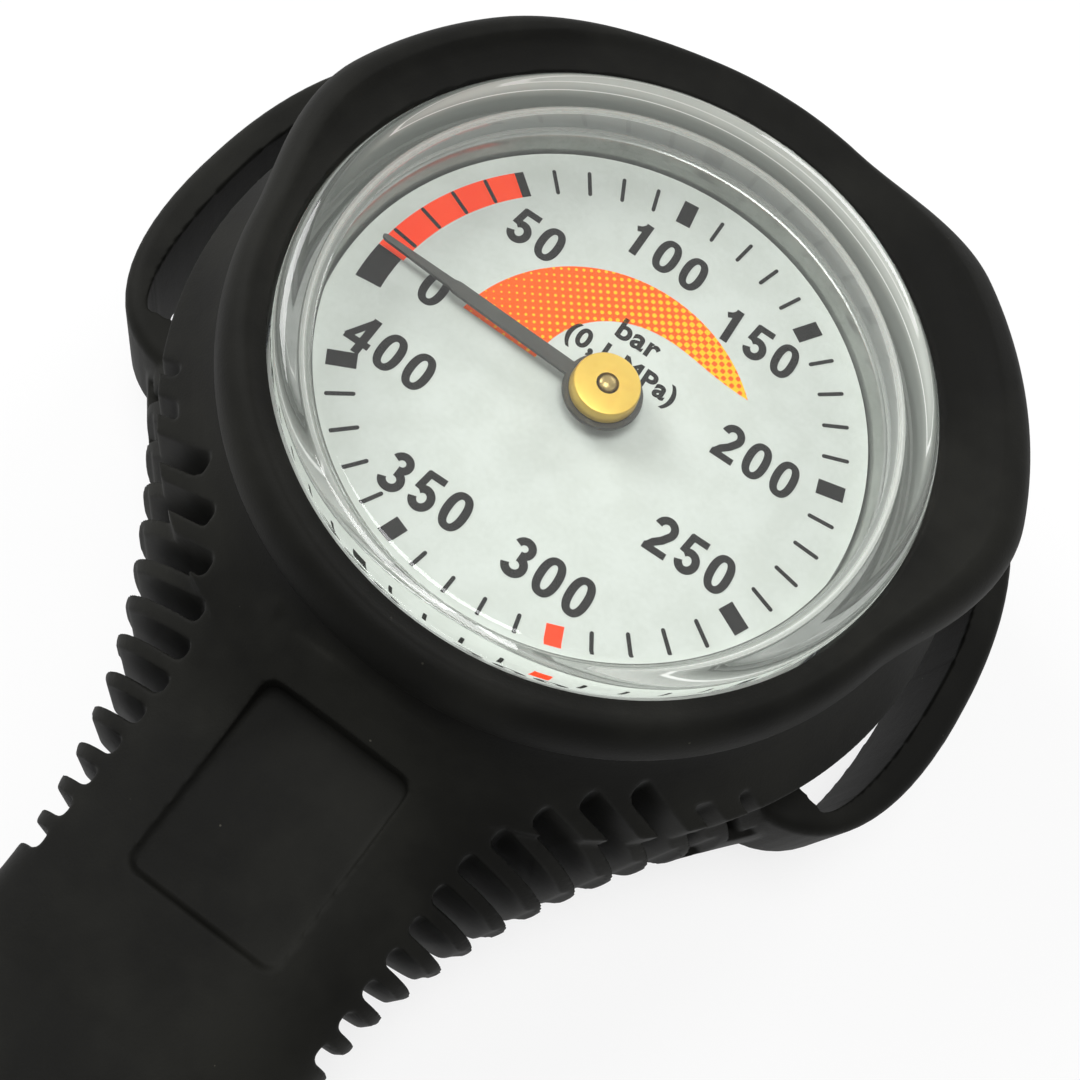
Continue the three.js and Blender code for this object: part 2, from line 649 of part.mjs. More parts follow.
/** Arbor of the pinion and the pointer, with its domed top. */
function pointerArbor() {
  const top = POINTER.z + POINTER.thick + POINTER.hubTall + 0.4;
  return piece("pointer_arbor", turned([
    [0, 17], [ARBOR_R, 17], [ARBOR_R, top - 0.35], [0.55, top - 0.1], [0, top],
  ], 20), STEEL);
}

const SPRING = { z: 23.5, tall: 0.6, thick: 0.25, inner: 1.75, outer: 6.5, turns: 3.5, facets: 16 };

/** Flat spiral spring that takes up the slack of the teeth. */
function hairspring() {
  const steps = SPRING.turns * SPRING.facets;
  const side = (offset) =>
    Array.from({ length: steps + 1 }, (_, i) => {
      const t = i / steps;
      return polar(mix(SPRING.inner, SPRING.outer, t) + offset, 90 + 360 * SPRING.turns * (t - 1));
    });
  const shape = new THREE.Shape([...side(SPRING.thick / 2), ...side(-SPRING.thick / 2).reverse()]);
  return piece("hairspring", plate(shape, SPRING.z, SPRING.z + SPRING.tall), BRONZE);
}

// ---- assembly -----------------------------------------------------------------------------------------

const gauge = new THREE.Group();

const shell = new THREE.Group();
shell.add(
  boot(),
  caseCup(),
  reliefPlug(),
  dialRing(),
  dialPlate(),
  lens(),
  sealRing("lens_o_ring", 28.85, 25.2, 1.2),
  snapRing(),
);

const inlet = new THREE.Group();
inlet.add(
  inletStem(),
  stemWasher(),
  socketBlock(),
  airSpool(),
  ...SPOOL_SEALS.map((y, i) => spoolSeal(`spool_o_ring_${i + 1}`, y)),
);

const movement = new THREE.Group();
const pillarLow = PLATE_LOW_Z + PLATE_THICK + 0.1;
const arborHoles = [[1, 0, 0], [0.9, 0, SECTOR_Y]];
const screwHoles = SCREW_X.map((x) => [1.05, x, SCREW_Y]);
const pillar = ([x, y], i) => {
  return piece(`pillar_${i + 1}`, post(1.2, pillarLow, PLATE_HIGH_Z - 0.1, x, y, 12), BRASS);
};
const stud = post(0.5, PLATE_HIGH_Z + PLATE_THICK + 0.1, 24.6, 0, SPRING.outer + 0.8, 12);
const screw = (x, i) => {
  const head = post(1.6, pillarLow, pillarLow + 0.9, x, SCREW_Y, 16);
  const thread = post(0.9, 15.8, pillarLow + 0.2, x, SCREW_Y, 12);
  return piece(`movement_screw_${i + 1}`, union(head, thread), STEEL);
};
movement.add(
  bourdonTube(),
  movementPlate("bottom_plate", PLATE_LOW_Z, -24.8, [...arborHoles, ...screwHoles]),
  movementPlate("top_plate", PLATE_HIGH_Z, -22, arborHoles),
  ...PILLARS.map(pillar),
  ...SCREW_X.map(screw),
  piece("hairspring_stud", stud, BRASS),
  hairspring(),
);

const pointerSet = new THREE.Group();
const collet = turned([[ARBOR_R + 0.1, 23.4], [1.55, 23.4], [1.55, 24.3], [ARBOR_R + 0.1, 24.3]], 20);
pointerSet.add(pointer(), pointerHub(), pointerArbor(), pinion(), piece("spring_collet", collet, BRASS));

const sectorSet = new THREE.Group();
sectorSet.add(
  sectorGear(),
  piece("sector_arbor", post(0.7, 17, 22.8, 0, SECTOR_Y, 12), STEEL),
  piece("tail_pin", post(0.45, 18.4, 20.9, TAIL.x, TAIL.y, 12), STEEL),
);

const tipSet = new THREE.Group();
tipSet.add(tubeTip(), piece("tip_pin", post(0.55, 12.2, 19.7, TIP.x, TIP.y, 12), STEEL), link());

gauge.add(shell, inlet, movement, pointerSet, sectorSet, tipSet);

export default gauge;
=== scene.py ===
"""Looks of a diver's submersible pressure gauge in its rubber boot.

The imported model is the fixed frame. Every piece made here stands for one of its nodes, at its place and
size, or is printed on the dial. Shapes are worked in millimetres, +Z out of the dial and -Y along the handle,
and brought to metres when they are finished.
"""

from __future__ import annotations

import json
import logging
import math
from collections.abc import Callable, Iterable, Sequence
from dataclasses import astuple, dataclass
from enum import Enum

import bmesh
import bpy
from mathutils import Matrix, Vector

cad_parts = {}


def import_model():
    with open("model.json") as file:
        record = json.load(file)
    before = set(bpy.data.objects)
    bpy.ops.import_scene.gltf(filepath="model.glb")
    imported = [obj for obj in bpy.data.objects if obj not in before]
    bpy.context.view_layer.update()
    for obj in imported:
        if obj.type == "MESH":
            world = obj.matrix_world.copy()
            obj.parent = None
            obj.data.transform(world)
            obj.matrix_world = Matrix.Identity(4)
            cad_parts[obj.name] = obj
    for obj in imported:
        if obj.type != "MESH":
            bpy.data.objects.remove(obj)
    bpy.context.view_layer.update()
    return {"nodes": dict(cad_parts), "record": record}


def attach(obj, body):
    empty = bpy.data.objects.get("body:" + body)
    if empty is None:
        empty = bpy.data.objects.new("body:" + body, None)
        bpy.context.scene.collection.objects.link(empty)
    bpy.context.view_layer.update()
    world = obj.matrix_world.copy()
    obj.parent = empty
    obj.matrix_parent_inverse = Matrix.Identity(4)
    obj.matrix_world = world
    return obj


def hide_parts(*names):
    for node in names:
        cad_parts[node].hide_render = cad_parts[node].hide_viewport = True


LOG = logging.getLogger("gauge")
MM = 0.001
TURN = 2 * math.pi
Point = tuple[float, float]
Outline = Sequence[Point]
Colour = tuple[float, float, float]
WHITE = (1.0, 1.0, 1.0)


class Body(str, Enum):
    """The bodies of the frame that new pieces ride on."""

    GAUGE = "gauge"
    POINTER = "pointer_set"


class Slot(str, Enum):
    """The record's material slots."""

    RUBBER = "boot_rubber"
    CASE = "case_chrome"
    LENS = "lens_clear"
    SEAL = "seal_rubber"
    RING = "ring_grey"
    DIAL = "dial_print"
    POINTER = "pointer_paint"
    BRASS = "brass"
    BRONZE = "bronze"
    STEEL = "steel"


def srgb(code: str) -> Colour:
    """Turns six hexadecimal digits of a screen colour into linear red, green and blue."""
    channels = [int(code[i : i + 2], 16) / 255 for i in (0, 2, 4)]
    return tuple(c / 12.92 if c <= 0.04045 else ((c + 0.055) / 1.055) ** 2.4 for c in channels)


def mix(a: float, b: float, share: float) -> float:
    """Returns the number that lies a share of the way from a to b."""
    return a + (b - a) * share


def smooth(x: float, low: float, high: float) -> float:
    """Returns 0 below low and 1 above high, with a smooth change between them."""
    t = min(max((x - low) / (high - low), 0.0), 1.0)
    return t * t * (3 - 2 * t)


def flat(x: float, y: float) -> Vector:
    """Returns a point of a plan."""
    return Vector((x, y, 0))


def polar(radius: float, degrees: float) -> Vector:
    """Returns a point of a plan from a radius and a direction."""
    return flat(radius * math.cos(math.radians(degrees)), radius * math.sin(math.radians(degrees)))


def squircle(angle: float, power: float) -> Point:
    """Returns a point of a circle that is squared off by a power under 1, or drawn in by one over 1."""
    c, s = math.cos(angle), math.sin(angle)
    return math.copysign(abs(c) ** power, c), math.copysign(abs(s) ** power, s)


def rounding(centre: Point, radius: float, degrees: Iterable[int]) -> list[Point]:
    """Returns points of a rounded edge about a centre, at these directions."""
    points = [polar(radius, turn) for turn in degrees]
    return [(centre[0] + p.x, centre[1] + p.y) for p in points]


def stand(name: str, data: bpy.types.ID) -> bpy.types.Object:
    """Puts a mesh, text, lamp or camera into the scene as an object.

    Args:
        name: The object's name.
        data: What it shows.

    Returns:
        The object.
    """
    made = bpy.data.objects.new(name, data)
    bpy.context.scene.collection.objects.link(made)
    return made


def result(made: bpy.types.Object) -> bpy.types.Mesh:
    """Returns the mesh that an object's modifiers or its text give."""
    bpy.context.view_layer.update()
    return bpy.data.meshes.new_from_object(made.evaluated_get(bpy.context.evaluated_depsgraph_get()))


# ---- shader maths ----


class Wire:
    """A socket of a node tree. Arithmetic on wires adds Math nodes."""

    def __init__(self, bench: Bench, socket: bpy.types.NodeSocket) -> None:
        """Wraps a socket that lies on a bench."""
        self.bench = bench
        self.socket = socket

    def __add__(self, other: Wire | float) -> Wire:
        """Adds two values."""
        return self.bench.maths("ADD", self, other)

    def __sub__(self, other: Wire | float) -> Wire:
        """Takes other away."""
        return self.bench.maths("SUBTRACT", self, other)

    def __rsub__(self, other: float) -> Wire:
        """Takes this wire away from a number."""
        return self.bench.maths("SUBTRACT", other, self)

    def __mul__(self, other: Wire | float) -> Wire:
        """Multiplies two values."""
        return self.bench.maths("MULTIPLY", self, other)

    def __truediv__(self, other: Wire | float) -> Wire:
        """Divides by other."""
        return self.bench.maths("DIVIDE", self, other)

    def __gt__(self, other: Wire | float) -> Wire:
        """Gives 1 where this wire is the greater."""
        return self.bench.maths("GREATER_THAN", self, other)

    __radd__ = __add__
    __rmul__ = __mul__


Value = Wire | bpy.types.NodeSocket | float | Colour


class Bench:
    """The node tree of one finish, or of the world."""

    octave_share = 0.55
    mix_colours = (6, 7)
    mixed_colour = 2

    def __init__(self, owner: bpy.types.Material | bpy.types.World) -> None:
        """Empties the node tree of a material or a world."""
        self.owner = owner
        owner.use_nodes = True
        self.tree = owner.node_tree
        self.tree.nodes.clear()
        self.place = self.node("ShaderNodeTexCoord").outputs["Object"]

    def node(self, kind: str, settings: dict | None = None, **values: Value) -> bpy.types.Node:
        """Adds a node.

        Args:
            kind: The node's type.
            settings: Its own settings, such as a Math node's operation.
            values: Values or wires for its sockets, with _ for a space in a socket's name.

        Returns:
            The node.
        """
        made = self.tree.nodes.new(kind)
        for key, value in (settings or {}).items():
            setattr(made, key, value)
        for key, value in values.items():
            self.plug(made.inputs[key.replace("_", " ")], value)
        return made

    def plug(self, target: bpy.types.NodeSocket, value: Value) -> None:
        """Links a wire to a socket, or sets the socket's own value.

        Args:
            target: The socket.
            value: What it gets.
        """
        if isinstance(value, Wire):
            value = value.socket
        if isinstance(value, bpy.types.NodeSocket):
            self.tree.links.new(value, target)
        elif isinstance(value, tuple) and target.type == "RGBA":
            target.default_value = (*value, 1.0)
        else:
            target.default_value = value

    def maths(self, operation: str, *values: Wire | float) -> Wire:
        """Adds a Math node.

        Args:
            operation: What it does.
            values: What it does it to.

        Returns:
            Its result.
        """
        made = self.node("ShaderNodeMath", {"operation": operation})
        for target, value in zip(made.inputs, values):
            self.plug(target, value)
        return Wire(self, made.outputs[0])

    def noise(self, size: float, detail: float, stretch: Colour = WHITE) -> Wire:
        """Noise of a feature size in millimetres.

        Args:
            size: Width of one feature along an unstretched axis.
            detail: Octaves.
            stretch: How many times longer the features are along each axis.

        Returns:
            A value round 0.5.
        """
        scale = tuple(1 / (size * MM * s) for s in stretch)
        mapped = self.node("ShaderNodeMapping", Vector=self.place, Scale=scale).outputs[0]
        kind = "ShaderNodeTexNoise"
        made = self.node(kind, Vector=mapped, Scale=1.0, Detail=detail, Roughness=self.octave_share)
        return Wire(self, made.outputs["Fac"])

    def specks(self, spacing: float, radius: float) -> Wire:
        """Sparse round specks.

        Args:
            spacing: Mean distance between them in millimetres.
            radius: Their radius as a share of the spacing.

        Returns:
            1 inside a speck, 0 outside.
        """
        made = self.node("ShaderNodeTexVoronoi", Vector=self.place, Scale=1 / (spacing * MM))
        return self.maths("LESS_THAN", Wire(self, made.outputs["Distance"]), radius)

    def band(self, value: Wire, low: float, high: float) -> Wire:
        """Runs a value smoothly from 0 to 1.

        Args:
            value: The value.
            low: Where it gives 0.
            high: Where it gives 1.

        Returns:
            The result.
        """
        smooth_steps = {"interpolation_type": "SMOOTHSTEP"}
        made = self.node("ShaderNodeMapRange", smooth_steps, Value=value, From_Min=low, From_Max=high)
        return Wire(self, made.outputs[0])

    def blend(self, share: Wire, *colours: Wire | Colour) -> Wire:
        """Mixes two colours.

        Args:
            share: How much of the second it takes.
            colours: The two.

        Returns:
            The mixed colour.
        """
        made = self.node("ShaderNodeMix", {"data_type": "RGBA"}, Factor=share)
        for number, colour in zip(self.mix_colours, colours):
            self.plug(made.inputs[number], colour)
        return Wire(self, made.outputs[self.mixed_colour])

    def either(self, share: Wire, *shaders: bpy.types.Node) -> bpy.types.Node:
        """Mixes two shaders.

        Args:
            share: How much of the second it takes.
            shaders: The two.

        Returns:
            The mixed shader.
        """
        made = self.node("ShaderNodeMixShader")
        for target, source in zip(made.inputs, (share, *(shader.outputs[0] for shader in shaders))):
            self.plug(target, source)
        return made

    def axes(self) -> tuple[Wire, Wire, Wire]:
        """Returns the three object coordinates in millimetres."""
        split = self.node("ShaderNodeSeparateXYZ", Vector=self.place)
        return tuple(Wire(self, socket) * (1 / MM) for socket in split.outputs)

    def relief(self, height: Wire, depth: float) -> Wire:
        """Returns the normal of a fine relief, with its depth in millimetres."""
        made = self.node("ShaderNodeBump", Height=height, Distance=depth * MM, Strength=1.0)
        return Wire(self, made.outputs[0])

    def surface(self, **values: Value) -> None:
        """Covers the material with a Principled shader that has these values."""
        self.output(self.node("ShaderNodeBsdfPrincipled", **values))

    def output(self, shader: bpy.types.Node) -> None:
        """Joins a shader to the material's output."""
        self.node("ShaderNodeOutputMaterial", Surface=shader.outputs[0])

    def ray(self, kind: str) -> Wire:
        """Returns 1 for a kind of ray, such as Camera, and 0 for all others."""
        return Wire(self, self.node("ShaderNodeLightPath").outputs[f"Is {kind} Ray"])

    def seen(self, gloss: float = 1.0) -> Wire:
        """Tells what is seen from the light that is given.

        Args:
            gloss: How bright it shows in gloss.

        Returns:
            1 for what the eye sees straight or through glass, gloss for its reflections and 0 for its light.
        """
        direct = self.maths("MAXIMUM", self.ray("Camera"), self.ray("Transmission"))
        return self.maths("MAXIMUM", direct, self.ray("Glossy") * gloss)


# ---- finishes ----


@dataclass(frozen=True)
class Finish:
    """What a surface looks like. Sizes of its grain are in millimetres."""

    name: str

    def lay(self, bench: Bench) -> None:
        """Lays its nodes on a bench."""
        raise NotImplementedError

    def make(self) -> bpy.types.Material:
        """Builds the material.

        Returns:
            The material.
        """
        bench = Bench(bpy.data.materials.new(self.name))
        self.lay(bench)
        return bench.owner


@dataclass(frozen=True)
class Rubber(Finish):
    """Moulded black rubber with a soft sheen, a fine grain and a little dust."""

    dark: Colour = srgb("141412")
    pale: Colour = srgb("21211e")
    dust: Colour = srgb("55534b")
    gloss: float = 0.08
    smoothness: Point = (0.5, 0.68)
    grain: float = 0.22
    pitting: float = 1.7
    cloud: float = 16
    dust_gap: float = 2.6
    dust_share: float = 0.035
    dust_patch: float = 11
    depth: float = 0.03

    def lay(self, bench: Bench) -> None:
        """Lays the finish's nodes on a bench.

        Args:
            bench: The bench, with nothing on it but the object's coordinates.
        """
        cloud = bench.noise(self.cloud, 4)
        grain = bench.noise(self.grain, 2)
        colour = bench.blend(bench.band(cloud, 0.38, 0.68), self.dark, self.pale)
        specks = bench.specks(self.dust_gap, self.dust_share)
        specks = specks * bench.band(bench.noise(self.dust_patch, 1), 0.5, 0.62)
        low, high = self.smoothness
        bench.surface(
            Base_Color=bench.blend(specks * 0.8, colour, self.dust),
            Roughness=mix(low, high, 0.5) + (cloud - 0.5) * (high - low) + (grain - 0.5) * 0.08,
            Specular_IOR_Level=self.gloss,
            Normal=bench.relief(grain * 0.6 + bench.noise(self.pitting, 3) * 0.9 + specks, self.depth),
        )


@dataclass(frozen=True)
class Metal(Finish):
    """Turned or polished metal with fine scratches and a tarnished bloom."""

    colour: Colour
    tarnish: Colour
    rough: float = 0.25
    metal: float = 1.0
    cloud: float = 1.8
    bloom: float = 0.5
    scratch: float = 0.12
    scratch_stretch: Colour = (1, 14, 1)
    depth: float = 0.006

    def lay(self, bench: Bench) -> None:
        """Lays the finish's nodes on a bench.

        Args:
            bench: The bench, with nothing on it but the object's coordinates.
        """
        cloud = bench.band(bench.noise(self.cloud, 4), 0.42, 0.72)
        lines = bench.noise(self.scratch, 2, self.scratch_stretch)
        bench.surface(
            Base_Color=bench.blend(cloud * self.bloom, self.colour, self.tarnish),
            Metallic=self.metal,
            Roughness=self.rough + cloud * 0.12 + (lines - 0.5) * 0.2,
            Normal=bench.relief(lines, self.depth),
        )


@dataclass(frozen=True)
class Paint(Finish):
    """Sprayed or printed paint with a slight mottle. A fluorescent ink gives back more light than it gets."""

    colour: Colour
    mottle: Colour
    rough: float = 0.45
    gloss: float = 0.08
    metal: float = 0.0
    fluorescence: float = 0.0
    grain: float = 0.5
    cloud: float = 4.5
    depth: float = 0.004

    def lay(self, bench: Bench) -> None:
        """Lays the finish's nodes on a bench.

        Args:
            bench: The bench, with nothing on it but the object's coordinates.
        """
        cloud = bench.noise(self.cloud, 4)
        grain = bench.noise(self.grain, 2)
        colour = bench.blend(bench.band(cloud * 0.7 + grain * 0.3, 0.35, 0.65), self.colour, self.mottle)
        glow = {"Emission_Color": colour, "Emission_Strength": self.fluorescence} if self.fluorescence else {}
        bench.surface(
            **glow,
            Base_Color=colour,
            Metallic=self.metal,
            Roughness=self.rough + (grain - 0.5) * 0.1,
            Specular_IOR_Level=self.gloss,
            Normal=bench.relief(grain, self.depth),
        )


@dataclass(frozen=True)
class Halftone(Finish):
    """Printed crescent that runs from orange on the left to yellow on the right through a lattice of dots."""

    orange: Colour = srgb("ff6208")
    yellow: Colour = srgb("ffc414")
    pitch: float = 0.7
    turn: float = 38.0
    left: float = -12.5
    right: float = 11.5
    fluorescence: float = 0.16
    rough: float = 0.42
    gloss: float = 0.12

    def lay(self, bench: Bench) -> None:
        """Lays the finish's nodes on a bench.

        Args:
            bench: The bench, with nothing on it but the object's coordinates.
        """
        x, y, _ = bench.axes()
        lattice = polar(TURN / self.pitch, self.turn)
        along = bench.maths("COSINE", x * lattice.x + y * lattice.y)
        across = bench.maths("COSINE", y * lattice.x - x * lattice.y)
        run = (x - self.left) / (self.right - self.left)
        dots = (along + across) * 0.5 > (run * 1.15 - 0.82)
        colour = bench.blend(dots, self.yellow, self.orange)
        bench.surface(
            Base_Color=colour,
            Emission_Color=colour,
            Emission_Strength=self.fluorescence,
            Roughness=self.rough,
            Specular_IOR_Level=self.gloss,
        )


@dataclass(frozen=True)
class Clear(Finish):
    """Polished clear lens. Its buried outer rim carries painted light: pale and darker bands, bright highlight
    lines and a faint glow stand in for the refracted and reflected light seen in the lens's edge. Lamps and soft
    light pass straight through it.
    """

    tint: Colour = (0.985, 0.992, 0.99)
    # The buried rim's colours are painted light: a pale painted light, a darker painted shade, bright painted
    # highlight lines at the listed heights, and a faint painted glow (glow).
    haze: Colour = srgb("cfd3cd")
    shade: Colour = srgb("8d918b")
    line: Colour = srgb("f4f6f2")
    lines: Point = (31.3, 33.4)
    line_width: Point = (0.08, 0.2)
    index: float = 1.5
    wall: Point = (27.7, 28.0)
    wall_top: Point = (35.7, 36.2)
    haze_rise: Point = (29.5, 33.5)
    haze_share: float = 0.8
    haze_rough: float = 0.6
    glow: float = 0.45
    smear: float = 9

    def lay(self, bench: Bench) -> None:
        """Lays the finish's nodes on a bench.

        Args:
            bench: The bench, with nothing on it but the object's coordinates.
        """
        glass = bench.node(
            "ShaderNodeBsdfPrincipled",
            Base_Color=self.tint,
            Roughness=bench.band(bench.noise(self.smear, 3), 0.5, 0.9) * 0.02,
            IOR=self.index,
            Transmission_Weight=1.0,
        )
        x, y, z = bench.axes()
        # Painted light on the hidden outer wall: a darker painted shade low down that rises to pale painted light
        # higher up. It stands in for the lit surroundings seen through the lens's edge.
        colour = bench.blend(bench.band(z, *self.haze_rise), self.shade, self.haze)
        # Bright painted highlight lines at these heights, standing in for reflections off the lens's steps.
        for height in self.lines:
            edge = 1 - bench.band(bench.maths("ABSOLUTE", z - height), *self.line_width)
            colour = bench.blend(edge, colour, self.line)
        # The painted rim glows at a fixed strength though it is no lamp: a painted glow.
        painted_rim = bench.node(
            "ShaderNodeBsdfPrincipled",
            Base_Color=colour,
            Roughness=self.haze_rough,
            Emission_Color=colour,
            Emission_Strength=self.glow,
        )
        # Mask of the painted light: the lens's outer wall below its top edge.
        painted_rim_mask = bench.band(bench.maths("SQRT", x * x + y * y), *self.wall) * (1 - bench.band(z, *self.wall_top))
        body = bench.either(painted_rim_mask * self.haze_share, glass, painted_rim)
        passing = bench.node("ShaderNodeBsdfTransparent", Color=self.tint)
        light = bench.maths("MAXIMUM", bench.ray("Shadow"), bench.ray("Diffuse"))
        bench.output(bench.either(light, body, passing))


@dataclass(frozen=True)
class PaleFloor(Finish):
    """White floor that keeps the object's shadow and shows white to the eye, to gloss and through glass."""

    name: str = "pale_floor"
    colour: Colour = (0.94, 0.94, 0.94)
    bounce: Colour = (0.3, 0.3, 0.3)
    glow: float = 0.8

    def lay(self, bench: Bench) -> None:
        """Lays the finish's nodes on a bench.

        Args:
            bench: The bench, with nothing on it but the object's coordinates.
        """
        colour = bench.blend(bench.ray("Diffuse"), self.colour, self.bounce)
        plain = bench.node("ShaderNodeBsdfDiffuse", Color=colour)
        lit = bench.node("ShaderNodeEmission", Color=WHITE, Strength=1.0)
        bench.output(bench.either(bench.seen() * self.glow, plain, lit))


class Finishes:
    """Every finish of the gauge, made once."""

    def __init__(self) -> None:
        """Builds the materials."""
        self.by_slot = {
            Slot.RUBBER: Rubber("boot_rubber_finish").make(),
            Slot.SEAL: Rubber("seal_finish", srgb("0d0d0d"), srgb("171717"), gloss=0.5, grain=0.1).make(),
            Slot.LENS: Clear("lens_finish").make(),
            Slot.CASE: Metal("case_finish", srgb("d5d7da"), srgb("a9acb0"), 0.16).make(),
            Slot.BRASS: Metal("brass_finish", srgb("c3a049"), srgb("8d6a2a"), 0.28).make(),
            Slot.BRONZE: Metal("bronze_finish", srgb("b98a55"), srgb("80532f"), 0.3).make(),
            Slot.STEEL: Metal("steel_finish", srgb("c0c3c6"), srgb("8b8e92"), 0.22).make(),
            Slot.RING: Paint("ring_finish", srgb("a4a8a2"), srgb("959993"), 0.16, 0.6, 0.35).make(),
            Slot.DIAL: Paint("dial_finish", srgb("e2e8e0"), srgb("d9dfd6"), 0.5).make(),
            Slot.POINTER: Paint("pointer_finish", srgb("3c3d36"), srgb("2c2d27"), 0.4, 0.5).make(),
        }
        self.hub = Metal("hub_finish", srgb("dcb94f"), srgb("c79a38"), 0.34, 0.45).make()
        self.arbor = Metal("arbor_finish", srgb("a08c5a"), srgb("5d4f33"), 0.3, 0.8).make()
        self.ink = Paint("ink_finish", srgb("1f1f1c"), srgb("191917"), 0.42).make()
        self.red = Paint("red_ink_finish", srgb("ff4818"), srgb("fb4012"), 0.42, fluorescence=0.28).make()
        self.crescent = Halftone("crescent_finish").make()

    def __getitem__(self, slot: Slot) -> bpy.types.Material:
        """Returns the finish of a slot."""
        return self.by_slot[slot]


# ---- shaping ----


class Blank:
    """A piece on the workbench, shaped in millimetres with bmesh operators."""

    tolerance = 1e-4

    def __init__(self) -> None:
        """Starts with nothing on the bench."""
        self.bm = bmesh.new()

    def turn(
        self, outline: Outline, steps: int, axis: Vector = Vector((0, 0, 1)), centre: Vector = Vector()
    ) -> Blank:
        """Revolves a closed outline.

        Args:
            outline: Points of (radius, height); a point on the axis has radius 0.
            steps: Facets round the turn.
            axis: Direction of the heights.
            centre: A point on the axis at height 0.

        Returns:
            This blank.
        """
        bm = self.bm
        points = [bm.verts.new(centre + Vector((1, 0, 0)) * r + axis * h) for r, h in outline]
        edges = [bm.edges.new(pair) for pair in zip(points, points[1:] + points[:1])]
        about = {"cent": centre, "axis": axis, "angle": TURN}
        bmesh.ops.spin(bm, geom=points + edges, steps=steps, use_merge=True, **about)
        bmesh.ops.remove_doubles(bm, verts=bm.verts, dist=self.tolerance)
        return self.outwards()

    def prism(self, outline: Iterable[Vector], low: float, high: float) -> Blank:
        """Raises a plan outline from one height to another.

        Args:
            outline: The plan.
            low: Height of its lower face.
            high: Height of its upper face.

        Returns:
            This blank.
        """
        face = self.bm.faces.new([self.bm.verts.new((p.x, p.y, low)) for p in outline])
        raised = bmesh.ops.extrude_face_region(self.bm, geom=[face])
        tops = [item for item in raised["geom"] if isinstance(item, bmesh.types.BMVert)]
        bmesh.ops.translate(self.bm, verts=tops, vec=(0, 0, high - low))
        return self.outwards()

    def loft(self, rings: Sequence[Sequence[Vector]]) -> Blank:
        """Joins rings of the same number of points into one closed skin.

        Args:
            rings: The rings in order, from end to end.

        Returns:
            This blank.
        """
        loops = []
        for ring in rings:
            made = bmesh.ops.create_circle(self.bm, segments=len(ring), radius=1)["verts"]
            for vert, point in zip(made, ring):
                vert.co = point
            loops.append(list(dict.fromkeys(edge for vert in made for edge in vert.link_edges)))
        for near, far in zip(loops, loops[1:]):
            bmesh.ops.bridge_loops(self.bm, edges=near + far)
        bmesh.ops.holes_fill(self.bm, edges=self.bm.edges)
        return self.outwards()

    def bevel(self, width: float, segments: int, chosen: Callable[[bmesh.types.BMEdge], bool]) -> Blank:
        """Rounds edges.

        Args:
            width: How far the rounding reaches.
            segments: Its facets.
            chosen: Tells whether an edge is rounded.

        Returns:
            This blank.
        """
        edges = [edge for edge in self.bm.edges if chosen(edge)]
        shape = {"segments": segments, "profile": 0.5, "affect": "EDGES", "material": -1}
        bmesh.ops.bevel(self.bm, geom=edges, offset=width, **shape)
        return self

    def outwards(self) -> Blank:
        """Turns the faces outwards."""
        bmesh.ops.recalc_face_normals(self.bm, faces=self.bm.faces)
        return self

    def rough(self, name: str) -> bpy.types.Object:
        """Takes the blank off the bench as an object, still in millimetres.

        Args:
            name: The object's name.

        Returns:
            The object.
        """
        mesh = bpy.data.meshes.new(name)
        self.bm.to_mesh(mesh)
        self.bm.free()
        return stand(name, mesh)


class Mould:
    """A solid that is built up and cut back from blanks, in millimetres."""

    softness = 0.5

    def __init__(self, start: Blank) -> None:
        """Starts from one closed blank."""
        self.work = start.rough("mould")

    def apply(self, tool: Blank, operation: str) -> Mould:
        """Runs one exact boolean.

        Args:
            tool: The blank that is added or cut away.
            operation: UNION or DIFFERENCE.

        Returns:
            This mould.
        """
        other = tool.rough("tool")
        step = self.work.modifiers.new("step", "BOOLEAN")
        step.operation = operation
        step.solver = "EXACT"
        step.object = other
        self.bake()
        bpy.data.objects.remove(other)
        return self

    def join(self, tool: Blank) -> Mould:
        """Adds a blank."""
        return self.apply(tool, "UNION")

    def cut(self, tool: Blank) -> Mould:
        """Cuts a blank away."""
        return self.apply(tool, "DIFFERENCE")

    def bake(self) -> None:
        """Makes the modifiers' result the mesh."""
        mesh = result(self.work)
        self.work.modifiers.clear()
        old = self.work.data
        self.work.data = mesh
        bpy.data.meshes.remove(old)

    def skin(self, grain: float, rounds: int, share: float) -> None:
        """Gives the solid one even skin with soft edges, as rubber leaves its mould.

        Args:
            grain: Edge length of the skin's faces before thinning.
            rounds: Rounds of smoothing.
            share: Share of the faces kept, fewest where the skin is flat.
        """
        even = self.work.modifiers.new("even", "REMESH")
        even.mode = "VOXEL"
        even.voxel_size = grain
        soft = self.work.modifiers.new("soft", "SMOOTH")
        soft.factor = self.softness
        soft.iterations = rounds
        self.bake()
        self.work.modifiers.new("thin", "DECIMATE").ratio = share
        self.bake()

    def mesh(self) -> bpy.types.Mesh:
        """Takes the solid out of the mould.

        Returns:
            Its mesh.
        """
        mesh = self.work.data
        bpy.data.objects.remove(self.work)
        return mesh

    def blank(self) -> Blank:
        """Puts the solid back on the bench.

        Returns:
            The solid as a blank.
        """
        made = Blank()
        made.bm.from_mesh(self.mesh())
        return made


